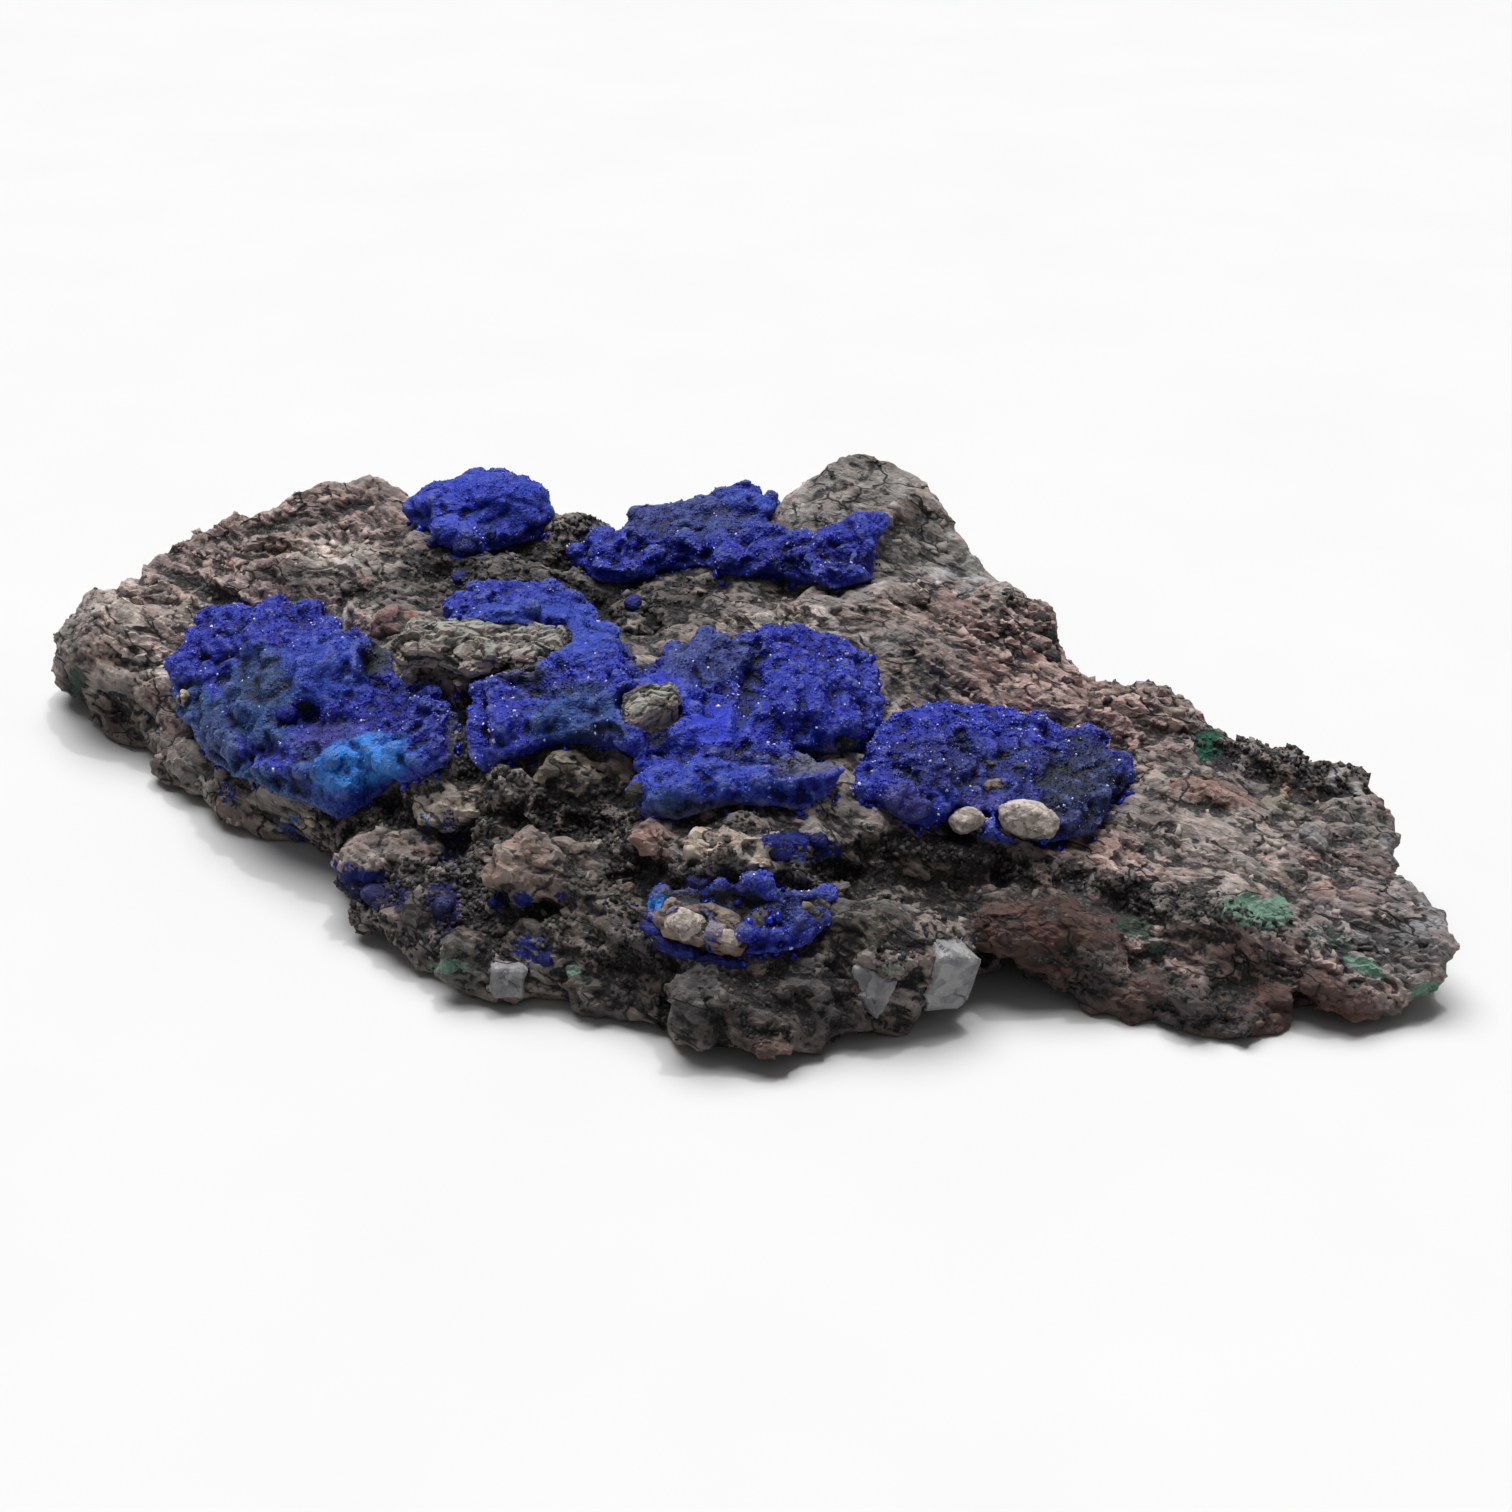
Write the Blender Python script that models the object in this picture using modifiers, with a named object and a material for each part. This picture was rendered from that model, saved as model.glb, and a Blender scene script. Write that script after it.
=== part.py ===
"""Azurite specimen: crusts of azurite on a flat, kite-shaped slab of arkose matrix.

Metres, +Z up. The slab lies on its flat base at z = 0, its length along X, its long front side towards
-Y, and its origin under the middle of its box. Features are placed from a front view: EYE is a fixed
point in front of the slab and above it, and a feature's place is how far it lies across and up, in
millimetres, in the picture plane through AIM.
"""

import math
from dataclasses import dataclass

import bmesh
import bpy
import numpy as np
from mathutils import Matrix, Vector, noise
from mathutils.bvhtree import BVHTree

MM = 0.001

# Driving sizes, in millimetres.
GAP = 0.3  # between two solids that touch
BASE_DEPTH = 1.0  # the raw base reaches this far below z = 0, where it is cut flat
EDGE_ROUND = 4.0  # width of the rounded shoulder along the top edge
CORE = Vector((4.0, -3.0))  # the outline's radii are measured from here
RAW_VOXEL = 1.4  # spacing of the raw surface, before it is thinned out
MATRIX_FACES = 3600
CRUST_VOXEL = 0.9
CRUST_SINK = 1.2  # a crust's underside lies this deep in the rock before it is cut to it

# The front view: the eye, and the point that it looks at.
EYE = Vector((8.7, -311.2, 163.0))
AIM = Vector((8.7, -5.6, 14.0))

# The slab's widest outline, anticlockwise from the right tip. Each point is its x and y, the height
# of the edge there, and how far the base lies inside it.
OUTLINE = (
    (83.5, -40.0, 4, 8), (82.5, -34.5, 6, 10), (80.5, -27.5, 8, 12), (81.5, -15.5, 9, 8),
    (80.0, -7.5, 10, 5), (71.0, -4.5, 10, 4), (64.5, -1.0, 10, 4), (62.5, 4.5, 12, 4),
    (57.0, 7.0, 13, 4), (51.0, 9.0, 11, 4), (47.0, 15.5, 11, 4), (46.0, 22.0, 12, 4),
    (40.5, 28.0, 13, 4), (35.5, 32.0, 15, 4), (31.5, 39.5, 18, 4), (25.5, 41.5, 20, 4),
    (19.5, 42.0, 20, 4), (11.5, 41.5, 17, 4), (3.0, 42.0, 15, 4), (-6.5, 44.0, 15, 4),
    (-18.5, 44.5, 16, 4), (-26.5, 48.0, 16, 4), (-33.5, 52.5, 16, 4), (-40.5, 54.5, 15, 4),
    (-48.5, 55.0, 14, 4), (-57.5, 55.0, 13, 4), (-66.5, 56.5, 12, 4), (-73.5, 52.0, 10, 4),
    (-75.0, 47.0, 9, 4), (-80.0, 46.0, 9, 4), (-83.0, 41.0, 8, 6), (-81.5, 34.5, 6, 9),
    (-77.5, 29.5, 4, 8), (-71.0, 23.5, 4, 8), (-61.0, 8.5, 4, 8), (-53.5, 1.5, 4, 8),
    (-44.5, -6.0, 4, 8), (-40.0, -15.0, 3, 7), (-35.5, -25.5, 3, 7), (-32.0, -31.0, 3, 8),
    (-25.0, -36.5, 3, 9), (-12.0, -39.5, 3, 9), (-3.5, -45.0, 3, 8), (3.0, -51.0, 3, 7),
    (9.5, -53.5, 3, 7), (15.0, -49.5, 3, 7), (19.5, -44.5, 3, 7), (24.5, -46.5, 3, 8),
    (28.5, -41.5, 5, 12), (32.5, -37.0, 9, 18), (37.0, -37.5, 8, 17), (40.5, -39.5, 5, 11),
    (44.5, -44.5, 3, 7), (54.0, -44.5, 3, 7), (60.0, -48.5, 3, 7), (64.5, -44.0, 4, 9),
    (69.0, -41.5, 6, 12), (76.0, -43.5, 3, 7),
)

# Heights of the bare rock's top: x, y, z. Between them the top is a smooth sheet.
STATIONS = (
    (-79, 40, 13.5), (-70, 45, 17), (-65, 51, 19), (-53, 50, 22), (-45, 50, 25), (-37, 49, 26),
    (-29, 44, 26.5), (-20, 40, 27), (-13, 38, 25.5), (-5, 38, 24), (4, 34, 26), (11, 35, 28),
    (15, 36, 32), (21.5, 36, 33), (27.5, 33, 32.5), (31.5, 31, 29), (35.5, 26, 26), (39.5, 20, 24),
    (44.5, 15, 20.5), (50, 8, 18.5), (57, 3, 19), (60, 0, 18), (66, -4, 16), (77, -10, 15),
    (79, -18, 13), (78, -28, 12), (80, -36, 9),
    (-74, 31.5, 15), (-61, 31, 17), (-64.5, 22.5, 12), (-61, 16.5, 8), (-53, 15, 16), (-46, 17.5, 18),
    (-43.5, -2.5, 16), (-43, -7.5, 9), (-34, -9.5, 11), (-26.5, -11.5, 20), (-26.5, -18.5, 14),
    (-29, -27, 9), (-33, 7, 22), (-22.5, -5.5, 23), (-24, 17.5, 23), (-15, 19.5, 22), (-9, 0.5, 23),
    (-15, -17.5, 22), (-21.5, -21.5, 17), (-12.5, -22, 17), (-12, -31, 12.5), (-14, -37.5, 8),
    (10, 16.5, 24), (10, 10.5, 22.5), (10, 2.5, 22), (10, -17.5, 23), (10, -26, 22), (10, -33.5, 20.5),
    (10, -37, 16), (10, -42.5, 12.5), (10, -47.5, 9), (22, 12.5, 25), (32.5, 21.5, 23), (37.5, 8.5, 20),
    (24.5, -17.5, 19), (35.5, -23.5, 16.5), (47.5, -9.5, 16.5), (49.5, -18.5, 14.5), (20.5, -30, 17),
    (34.5, -30.5, 14), (43.5, -29, 13), (27, -36, 12), (31, -37, 9), (57, -10.5, 15), (64, -17, 14.5),
    (62, -29.5, 12.5), (73, -30, 11.5), (61, -38.5, 10), (45.5, -33.5, 11), (40, -35.5, 8),
    (55.5, -41, 6), (72, -38.5, 7),
)
SHEET_SOFTNESS = 8.0  # how far the sheet may pass off its stations, for an even surface

# Ridges and lumps (+), grooves and hollows (-) of the rock, in the front view: the two ends of each,
# as across and up, then its radius and its height. A lump or a hollow has both its ends in one place.
RELIEF = (
    # The left end.
    (-70.3, 20.3, -63.4, 17.7, 1.8, -2.2),
    (-75.5, 15.1, -72.0, 14.0, 4.0, 1.2),
    (-78.4, 12.6, -69.7, 11.2, 1.6, -1.2),
    (-76.6, 6.4, -69.7, 1.3, 2.5, -1.8),
    # The back left.
    (-60.5, 27.2, -44.1, 31.0, 3.0, 1.4),
    (-64.0, 22.6, -49.0, 23.2, 2.0, -1.6),
    (-58.2, 20.3, -41.0, 22.6, 2.6, 1.2),
    (-52.5, 17.6, -38.7, 19.1, 2.0, -1.2),
    # Behind the centre crust.
    (-31.8, 21.5, -24.0, 20.5, 2.6, 1.4),
    (-37.5, 22.6, -33.5, 18.5, 2.4, -1.8),
    (-22.0, 19.1, -12.2, 17.0, 3.0, -2.2),
    (-1.8, 18.0, 16.5, 15.5, 2.6, 1.2),
    # The back right, with two dark knobs on its edge.
    (12.4, 33.6, 27.0, 18.0, 4.0, 1.2),
    (19.5, 27.2, 24.4, 17.6, 1.6, -1.4),
    (15.4, 18.2, 31.7, 13.3, 3.0, 1.2),
    (33.4, 15.6, 33.4, 15.6, 2.4, 3.0),
    (35.5, 12.3, 35.5, 12.3, 2.0, 2.4),
    (16.6, 12.2, 43.0, 4.1, 3.0, 1.0),
    (21.2, 7.6, 39.6, 3.4, 2.0, -1.3),
    # The right lobe: its dark back rim, the trough inside it, and the slabs on the top.
    (51.0, 1.8, 71.4, -2.3, 2.4, 1.4),
    (47.6, -0.5, 64.0, -6.0, 2.0, -1.6),
    (48.2, -3.5, 57.0, -4.8, 2.4, 1.4),
    (67.8, -4.0, 67.8, -4.0, 2.2, 1.4),
    (64.0, -9.0, 64.0, -9.0, 2.2, 1.2),
    (41.9, -5.0, 51.0, -10.8, 1.8, -1.5),
    (51.0, -10.8, 62.6, -14.3, 1.8, -1.3),
    (40.7, -13.1, 54.5, -16.6, 2.6, 1.0),
    (63.8, -12.0, 74.1, -15.4, 1.6, -1.2),
    (66.0, -16.6, 77.0, -23.5, 1.8, -1.3),
    # The right lobe's front: a smooth brow over a recess, then rounded feet.
    (30.0, -18.5, 39.0, -20.8, 3.6, 2.0),
    (30.0, -24.6, 42.0, -26.4, 2.2, -2.6),
    (45.3, -22.9, 61.5, -26.9, 2.4, -2.0),
    (48.8, -29.0, 48.8, -29.0, 3.0, 1.4),
    (56.8, -30.6, 56.8, -30.6, 2.6, 1.6),
    (67.2, -28.0, 67.2, -28.0, 2.6, 1.0),
    # The deep recess under the right crust, and the rock below it.
    (12.5, -12.6, 27.0, -15.2, 3.0, -4.2),
    (10.8, -17.7, 16.5, -20.5, 3.0, 1.4),
    (7.5, -24.5, 12.0, -25.5, 2.2, -2.0),
    # The centre front.
    (-13.0, -9.6, 2.0, -11.4, 2.4, 1.6),
    (-17.0, -11.5, -14.0, -13.0, 2.2, -2.0),
    (-23.0, -12.5, -21.5, -12.5, 3.8, 2.2),
    (-20.0, -18.0, -18.0, -18.0, 3.4, 1.8),
    (-9.0, -27.0, -9.0, -27.0, 4.6, 1.2),
    (0.0, -29.0, 3.0, -29.5, 4.6, 1.4),
    (-11.0, -24.0, -11.0, -31.0, 1.3, -1.8),
    (-4.4, -25.0, -4.4, -33.0, 1.3, -1.8),
    # The front left: stones between hollows.
    (-20.5, -1.5, -20.5, -1.5, 3.4, 2.0),
    (-36.5, -3.9, -27.7, -3.9, 1.8, 1.4),
    (-38.0, -7.8, -27.0, -9.0, 2.6, -2.8),
    (-34.0, -15.5, -27.5, -19.0, 3.0, -2.6),
    (-43.7, -10.2, -43.7, -10.2, 4.0, 1.8),
    # The crack between the left crust and the centre crust.
    (-33.8, 7.6, -32.9, -2.8, 2.0, -4.6),
)


@dataclass(frozen=True)
class Crust:
    """One grown crust, in the front view: its outline, its thickness, and the lobes on it."""

    outline: tuple
    thickness: float
    knob: float  # height of the small rounded lumps
    knob_size: float  # distance between them
    faces: int
    lobes: tuple = ()  # across, up, radius, height
    balls: tuple = ()  # across, up, y, half width, half depth, half height


CRUSTS = {
    "azurite_left_crust": Crust(
        outline=(
            (-68.3, 10.0), (-65.1, 11.6), (-63.3, 15.2), (-60.0, 17.5), (-56.8, 16.9), (-54.8, 18.2),
            (-52.4, 16.7), (-49.0, 16.5), (-46.7, 13.8), (-42.7, 12.9), (-40.7, 9.8), (-35.4, 8.5),
            (-34.3, 6.4), (-33.8, -1.6), (-37.5, -3.0), (-41.0, -3.2), (-44.2, -4.5), (-46.7, -7.6),
            (-50.4, -7.1), (-53.4, -5.1), (-55.9, -3.0), (-59.8, -2.5), (-63.4, 0.7), (-65.9, 3.9),
            (-66.5, 6.6),
        ),
        thickness=3.0,
        knob=0.9,
        knob_size=4.5,
        faces=560,
        lobes=(
            (-57.0, 13.5, 5.0, 1.2), (-47.0, 10.5, 5.0, 1.2), (-47.0, -2.0, 5.5, 1.8),
            (-38.5, 4.0, 4.0, 1.2), (-61.5, 6.0, 4.0, 1.0), (-52.0, 5.0, 3.0, -1.2), (-43.0, 7.5, 3.0, -1.0),
        ),
    ),
    "azurite_center_crust": Crust(
        outline=(
            (-37.5, 15.2), (-35.0, 16.8), (-31.8, 18.0), (-22.3, 18.4), (-18.2, 15.4), (-15.4, 12.8),
            (-13.3, 9.7), (-9.7, 8.7), (-11.4, 12.3), (-9.7, 15.0), (-3.0, 15.0), (-0.9, 13.1),
            (8.5, 13.4), (12.2, 12.0), (14.3, 8.7), (15.2, 5.9), (14.7, 2.4), (12.2, 0.5), (8.5, -0.2),
            (1.4, 1.4), (1.8, 0.0), (9.1, -2.3), (10.6, -3.7), (8.5, -5.1), (4.5, -6.0), (-4.1, -6.0),
            (-7.6, -7.4), (-11.0, -7.8), (-13.8, -6.4), (-13.3, -3.9), (-10.8, -2.3), (-13.6, -1.8),
            (-15.9, 0.7), (-20.8, 1.6), (-24.9, 0.5), (-27.7, -1.4), (-30.6, -2.3), (-32.4, 1.3),
            (-33.7, 4.7), (-33.4, 6.9), (-29.5, 8.7), (-20.5, 10.6), (-22.6, 12.4), (-35.2, 14.3),
        ),
        thickness=2.8,
        knob=0.9,
        knob_size=5.0,
        faces=640,
        lobes=(
            (6.4, 6.4, 7.0, 3.0), (-27.0, 15.5, 4.5, 1.4), (-19.0, 6.4, 7.0, 1.0), (-6.4, 12.8, 4.0, 1.4),
            (-2.4, 8.0, 3.2, -1.8), (-6.4, -3.3, 5.5, 1.4), (4.0, -3.5, 4.5, 1.2), (-29.5, 3.0, 4.0, 0.8),
        ),
    ),
    "azurite_right_crust": Crust(
        outline=(
            (10.8, -2.2), (12.9, 1.3), (15.7, 2.6), (17.3, 3.8), (34.5, 3.9), (35.2, 2.3), (39.1, 1.6),
            (41.7, -0.5), (42.8, -2.3), (41.7, -5.1), (40.0, -7.6), (37.3, -10.8), (33.3, -10.4),
            (29.2, -11.0), (25.8, -10.1), (22.9, -8.5), (16.0, -7.8), (13.1, -6.0), (11.6, -4.4),
        ),
        thickness=2.6,
        knob=0.7,
        knob_size=4.0,
        faces=440,
        lobes=((21.0, -0.5, 6.0, 1.0), (34.0, -1.6, 5.5, 1.0), (27.5, 1.5, 2.5, -0.8)),
    ),
    "azurite_back_cap": Crust(
        outline=((-38.5, 23.6), (-37.5, 27.0), (-31.0, 28.4), (-24.5, 28.0), (-23.6, 25.0), (-31.0, 23.0)),
        thickness=2.4,
        knob=0.5,
        knob_size=6.0,
        faces=260,
        balls=((-35.8, 28.4, 42.0, 4.8, 4.8, 3.2), (-29.4, 29.4, 42.0, 6.0, 5.6, 3.6)),
    ),
    "azurite_back_ridge": Crust(
        outline=(
            (-20.6, 19.6), (-20.4, 24.0), (-14.5, 25.0), (-8.5, 26.0), (3.0, 26.0), (10.0, 26.0),
            (13.8, 28.0), (14.4, 24.4), (13.4, 19.6), (9.5, 18.8), (4.5, 20.0), (-3.5, 20.4),
            (-9.5, 21.8), (-12.0, 20.2), (-16.5, 18.8),
        ),
        thickness=3.0,
        knob=0.8,
        knob_size=5.5,
        faces=400,
        balls=(
            (-17.0, 22.6, 35.5, 4.0, 4.6, 3.6), (-10.5, 25.2, 37.0, 5.0, 4.6, 3.6),
            (-5.5, 26.6, 38.0, 5.6, 5.2, 4.2), (-1.0, 27.2, 38.0, 5.0, 5.2, 4.4),
            (4.5, 25.2, 36.5, 5.4, 5.0, 4.4), (9.5, 23.2, 34.5, 4.8, 4.6, 4.2),
            (11.4, 28.0, 36.0, 3.2, 3.4, 2.8),
        ),
    ),
    "azurite_front_pocket": Crust(
        outline=(
            (-14.6, -17.0), (-12.0, -15.2), (-7.0, -14.4), (1.5, -14.0), (9.3, -15.4), (9.4, -20.6),
            (7.0, -22.4), (3.0, -22.8), (-1.5, -24.0), (-6.0, -23.0), (-11.5, -20.0),
        ),
        thickness=1.4,
        knob=0.5,
        knob_size=3.2,
        faces=150,
    ),
}


@dataclass(frozen=True)
class Stone:
    """A stone set on the rock or in a crust: its place in the front view, its size and its turn."""

    across: float
    up: float
    size: tuple
    turn: tuple  # degrees about X, Y and Z
    rise: float  # how far its centre lies above the surface that it sits on
    slot: str
    round: bool = False


STONES = {
    "pale_pebble_large": Stone(30.2, -8.8, (7.8, 5.2, 4.8), (6, 12, -8), 2.6, "pebble", round=True),
    "pale_pebble_small": Stone(24.4, -9.4, (4.8, 4.2, 4.0), (0, -14, 12), 2.2, "pebble", round=True),
    "pocket_stone_large": Stone(-7.6, -19.6, (6.6, 4.2, 4.0), (0, 24, 10), 0.8, "pebble", round=True),
    "pocket_stone_small": Stone(-2.9, -21.2, (3.6, 3.2, 3.0), (0, 10, 0), 0.8, "pebble", round=True),
    "banded_plate": Stone(-31.0, 11.6, (19.0, 8.0, 3.0), (3, 2, -6), 1.4, "banded"),
    "banded_chip": Stone(-12.3, 2.8, (6.4, 5.2, 5.0), (4, -3, 14), 2.4, "banded"),
    "quartz_block_large": Stone(21.2, -24.8, (6.4, 6.0, 7.6), (8, 20, 28), 0.0, "quartz"),
    "quartz_block_small": Stone(13.2, -26.4, (5.4, 4.6, 4.8), (-12, 18, -20), 0.0, "quartz"),
    "quartz_block_left": Stone(-28.8, -25.4, (4.2, 5.0, 4.4), (0, 6, 14), -0.4, "quartz"),
}
BLOCK_BEVEL = 0.6
STONE_ROUGHNESS = 0.5

# Colour, roughness and metallic value of each finish.
FINISHES = {
    "matrix": ((0.115, 0.095, 0.09), 0.85, 0.0),
    "azurite": ((0.028, 0.042, 0.235), 0.5, 0.0),
    "pebble": ((0.36, 0.30, 0.27), 0.8, 0.0),
    "banded": ((0.17, 0.16, 0.145), 0.8, 0.0),
    "quartz": ((0.27, 0.27, 0.275), 0.55, 0.0),
}


def clear_scene():
    """Removes whatever the scene holds."""
    for obj in list(bpy.data.objects):
        bpy.data.objects.remove(obj)


def finish(slot):
    """The Principled material of a finish, made once."""
    found = bpy.data.materials.get(slot)
    if found:
        return found
    colour, roughness, metallic = FINISHES[slot]
    material = bpy.data.materials.new(slot)
    material.use_nodes = True
    shader = material.node_tree.nodes["Principled BSDF"]
    shader.inputs["Base Color"].default_value = (*colour, 1.0)
    shader.inputs["Roughness"].default_value = roughness
    shader.inputs["Metallic"].default_value = metallic
    return material


def add_object(name, mesh, collection):
    """Links a new object that shows the mesh."""
    obj = bpy.data.objects.new(name, mesh)
    collection.objects.link(obj)
    return obj


def new_collection(name):
    """A new collection in the scene."""
    made = bpy.data.collections.new(name)
    bpy.context.scene.collection.children.link(made)
    return made


def mesh_from(bm, name):
    """A mesh that holds the bmesh, which is freed."""
    mesh = bpy.data.meshes.new(name)
    bm.to_mesh(mesh)
    bm.free()
    return mesh


def evaluated_mesh(obj):
    """The object's mesh with its modifiers applied, in world space."""
    bpy.context.view_layer.update()
    graph = bpy.context.evaluated_depsgraph_get()
    mesh = bpy.data.meshes.new_from_object(obj.evaluated_get(graph))
    mesh.transform(obj.matrix_world)
    return mesh


def bake_modifiers(obj):
    """Replaces the object's mesh with its evaluated one, with its place in the mesh."""
    mesh = evaluated_mesh(obj)
    obj.modifiers.clear()
    obj.data = mesh
    obj.matrix_world = Matrix.Identity(4)


def voxel_remesh(obj, voxel):
    """Turns the object into one even, closed skin."""
    remesh = obj.modifiers.new("even skin", "REMESH")
    remesh.mode = "VOXEL"
    remesh.voxel_size = voxel * MM
    bake_modifiers(obj)


def thin_out(obj, faces):
    """Reduces the object to about this many triangles, with its shape kept."""
    count = sum(len(p.vertices) - 2 for p in obj.data.polygons)
    decimate = obj.modifiers.new("thin out", "DECIMATE")
    decimate.ratio = min(1.0, faces / count)
    decimate.use_collapse_triangulate = True
    bake_modifiers(obj)


def displace(mesh, distance_at):
    """Moves each vertex along its normal, by distance_at(point, normal), all in millimetres."""
    bm = bmesh.new()
    bm.from_mesh(mesh)
    bm.normal_update()
    moves = [vert.normal * distance_at(vert.co / MM, vert.normal) * MM for vert in bm.verts]
    for vert, move in zip(bm.verts, moves):
        vert.co += move
    bm.to_mesh(mesh)
    bm.free()


def subtract(obj, cutter):
    """Cuts the cutter's shape out of the object."""
    cut = obj.modifiers.new("cut", "BOOLEAN")
    cut.operation = "DIFFERENCE"
    cut.object = cutter
    cut.solver = "EXACT"
    bake_modifiers(obj)


def body_of(start, todo):
    """The vertices joined to start by edges, which are taken out of todo."""
    front = [start]
    body = {start}
    while front:
        for edge in front.pop().link_edges:
            for vert in edge.verts:
                if vert in todo:
                    todo.remove(vert)
                    body.add(vert)
                    front.append(vert)
    return body


def keep_largest_body(obj):
    """Removes all but the largest of the object's separate bodies."""
    bm = bmesh.new()
    bm.from_mesh(obj.data)
    todo = set(bm.verts)
    bodies = []
    while todo:
        bodies.append(body_of(todo.pop(), todo))
    bodies.sort(key=len)
    for body in bodies[:-1]:
        bmesh.ops.delete(bm, geom=list(body), context="VERTS")
    bm.to_mesh(obj.data)
    bm.free()


# The front view.


def view_axes():
    """The front view's directions: forward, right and up."""
    forward = (AIM - EYE).normalized()
    right = forward.cross(Vector((0, 0, 1))).normalized()
    return forward, right, right.cross(forward)


def view_direction(across, up):
    """The direction from the eye to a place in the front view."""
    _, right, upward = view_axes()
    return (AIM + right * across + upward * up - EYE).normalized()


def view_place(point):
    """Where a point in millimetres lies in the front view: across and up."""
    forward, right, upward = view_axes()
    offset = point - EYE
    shrink = (AIM - EYE).length / offset.dot(forward)
    return offset.dot(right) * shrink, offset.dot(upward) * shrink


def surface_tree(mesh):
    """A search tree over the mesh."""
    bm = bmesh.new()
    bm.from_mesh(mesh)
    tree = BVHTree.FromBMesh(bm)
    bm.free()
    return tree


def seen_on(tree, across, up):
    """The point and normal, in millimetres, that a place in the front view shows of the surface."""
    point, normal, _, _ = tree.ray_cast(EYE * MM, view_direction(across, up))
    return (point / MM, normal) if point is not None else (None, None)


def inside(outline, across, up):
    """Whether a place in the front view lies inside the outline."""
    within = False
    for (x0, y0), (x1, y1) in zip(outline, outline[1:] + outline[:1]):
        if (y0 > up) != (y1 > up) and across < x0 + (up - y0) * (x1 - x0) / (y1 - y0):
            within = not within
    return within


def bump(point, start, end, radius, height):
    """The height at a point of a rounded ridge that runs from start to end."""
    along = end - start
    share = 0.0
    if along.length > 0:
        share = min(1.0, max(0.0, (point - start).dot(along) / along.length_squared))
    near = (point - start - along * share).length / radius
    return height * math.exp(-near * near)


# The rock.


class TopSheet:
    """The smooth sheet through the STATIONS: a thin-plate spline."""

    def __init__(self):
        self.places = np.array([station[:2] for station in STATIONS], float)
        heights = np.array([station[2] for station in STATIONS], float)
        count = len(STATIONS)
        system = np.zeros((count + 3, count + 3))
        system[:count, :count] = self.bend(self.places) + SHEET_SOFTNESS * np.eye(count)
        system[:count, count] = 1
        system[:count, count + 1 :] = self.places
        system[count:, :count] = system[:count, count:].T
        self.weights = np.linalg.solve(system, np.concatenate([heights, np.zeros(3)]))

    def bend(self, points):
        """The spline's r² log r between the points and the stations."""
        square = ((points[:, None, :] - self.places[None, :, :]) ** 2).sum(axis=2)
        return 0.5 * square * np.log(np.maximum(square, 1e-9))

    def height(self, place):
        """The sheet's height at a place in plan."""
        count = len(self.places)
        flat = self.weights[count] + np.dot(place, self.weights[count + 1 :])
        return float(self.bend(np.array([place]))[0] @ self.weights[:count] + flat)


class Outline:
    """The OUTLINE as a radius, an edge height and a base inset in each direction from the core."""

    def __init__(self):
        points = np.array(OUTLINE, float)
        out = points[:, :2] - np.array(CORE)
        order = np.argsort(np.arctan2(out[:, 1], out[:, 0]))
        self.angles = np.arctan2(out[:, 1], out[:, 0])[order]
        self.values = np.column_stack([np.hypot(out[:, 0], out[:, 1]), points[:, 2:]])[order]

    def at(self, angle):
        """The radius, the edge height and the base inset in this direction."""
        return [float(np.interp(angle, self.angles, v, period=2 * math.pi)) for v in self.values.T]


def slab_point(corner, outline, sheet):
    """Where a vertex of the cube from -1 to 1 goes on the raw slab, in millimetres."""
    radius, edge, inset = outline.at(math.atan2(corner.y, corner.x))
    spread = max(abs(corner.x), abs(corner.y))
    direction = Vector((corner.x, corner.y)).normalized()
    climb = (corner.z + 1) / 2
    reach = (1 - (1 - spread) ** 1.6) * radius  # the rings lie closer together near the edge
    if climb < 1:
        drop = 1 - math.sqrt(1 - (1 - climb) ** 2)
        plan = CORE + direction * max(0.0, reach - inset * drop * min(1.0, spread * 2))
        return Vector((*plan, -BASE_DEPTH + (edge + BASE_DEPTH) * climb))
    plan = CORE + direction * reach
    shoulder = min(1.0, (radius - reach) / EDGE_ROUND)
    rise = math.sqrt(1 - (1 - shoulder) ** 2)
    return Vector((*plan, edge + max(0.0, sheet.height(plan) - edge) * rise))


def raw_slab():
    """The slab before its relief: a cube drawn out to the outline and the top sheet."""
    bm = bmesh.new()
    bmesh.ops.create_cube(bm, size=2)
    bmesh.ops.subdivide_edges(bm, edges=bm.edges[:], cuts=55, use_grid_fill=True)
    outline = Outline()
    sheet = TopSheet()
    for vert in bm.verts:
        vert.co = slab_point(vert.co, outline, sheet) * MM
    return mesh_from(bm, "raw_slab")


def blocks(point):
    """Flat-lying angular blocks, each a little higher or lower than the next, with seams between."""
    distances, centres = noise.voronoi(Vector((point.x / 11, point.y / 9, point.z / 5.5)))
    seam = min(1.0, (distances[1] - distances[0]) / 0.18)
    return 2.0 * (noise.cell(centres[0] * 7.3) - 0.5) * seam - 0.7 * (1 - seam)


def ledges(point, normal):
    """Thin beds that stand out of the slab's sides: each is full at its top and cut back below."""
    bed = (point.z + 0.06 * point.x + 3.0 * noise.noise(point * 0.05)) / 4.4
    return 1.6 * (bed - math.floor(bed) - 0.5) * (1 - abs(normal.z)) ** 0.5


def shape_rock(mesh):
    """Gives the raw slab its ridges, hollows, blocks and beds."""
    tree = surface_tree(mesh)
    forms = []
    for across0, up0, across1, up1, radius, height in RELIEF:
        start, _ = seen_on(tree, across0, up0)
        end, _ = seen_on(tree, across1, up1)
        if start is not None and end is not None:
            forms.append((start, end, radius, height))

    def relief(point, normal):
        waves = 1.5 * noise.fractal(point * 0.08, 0.9, 2.1, 3)
        return waves + blocks(point) + ledges(point, normal) + sum(bump(point, *form) for form in forms)

    displace(mesh, relief)


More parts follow.
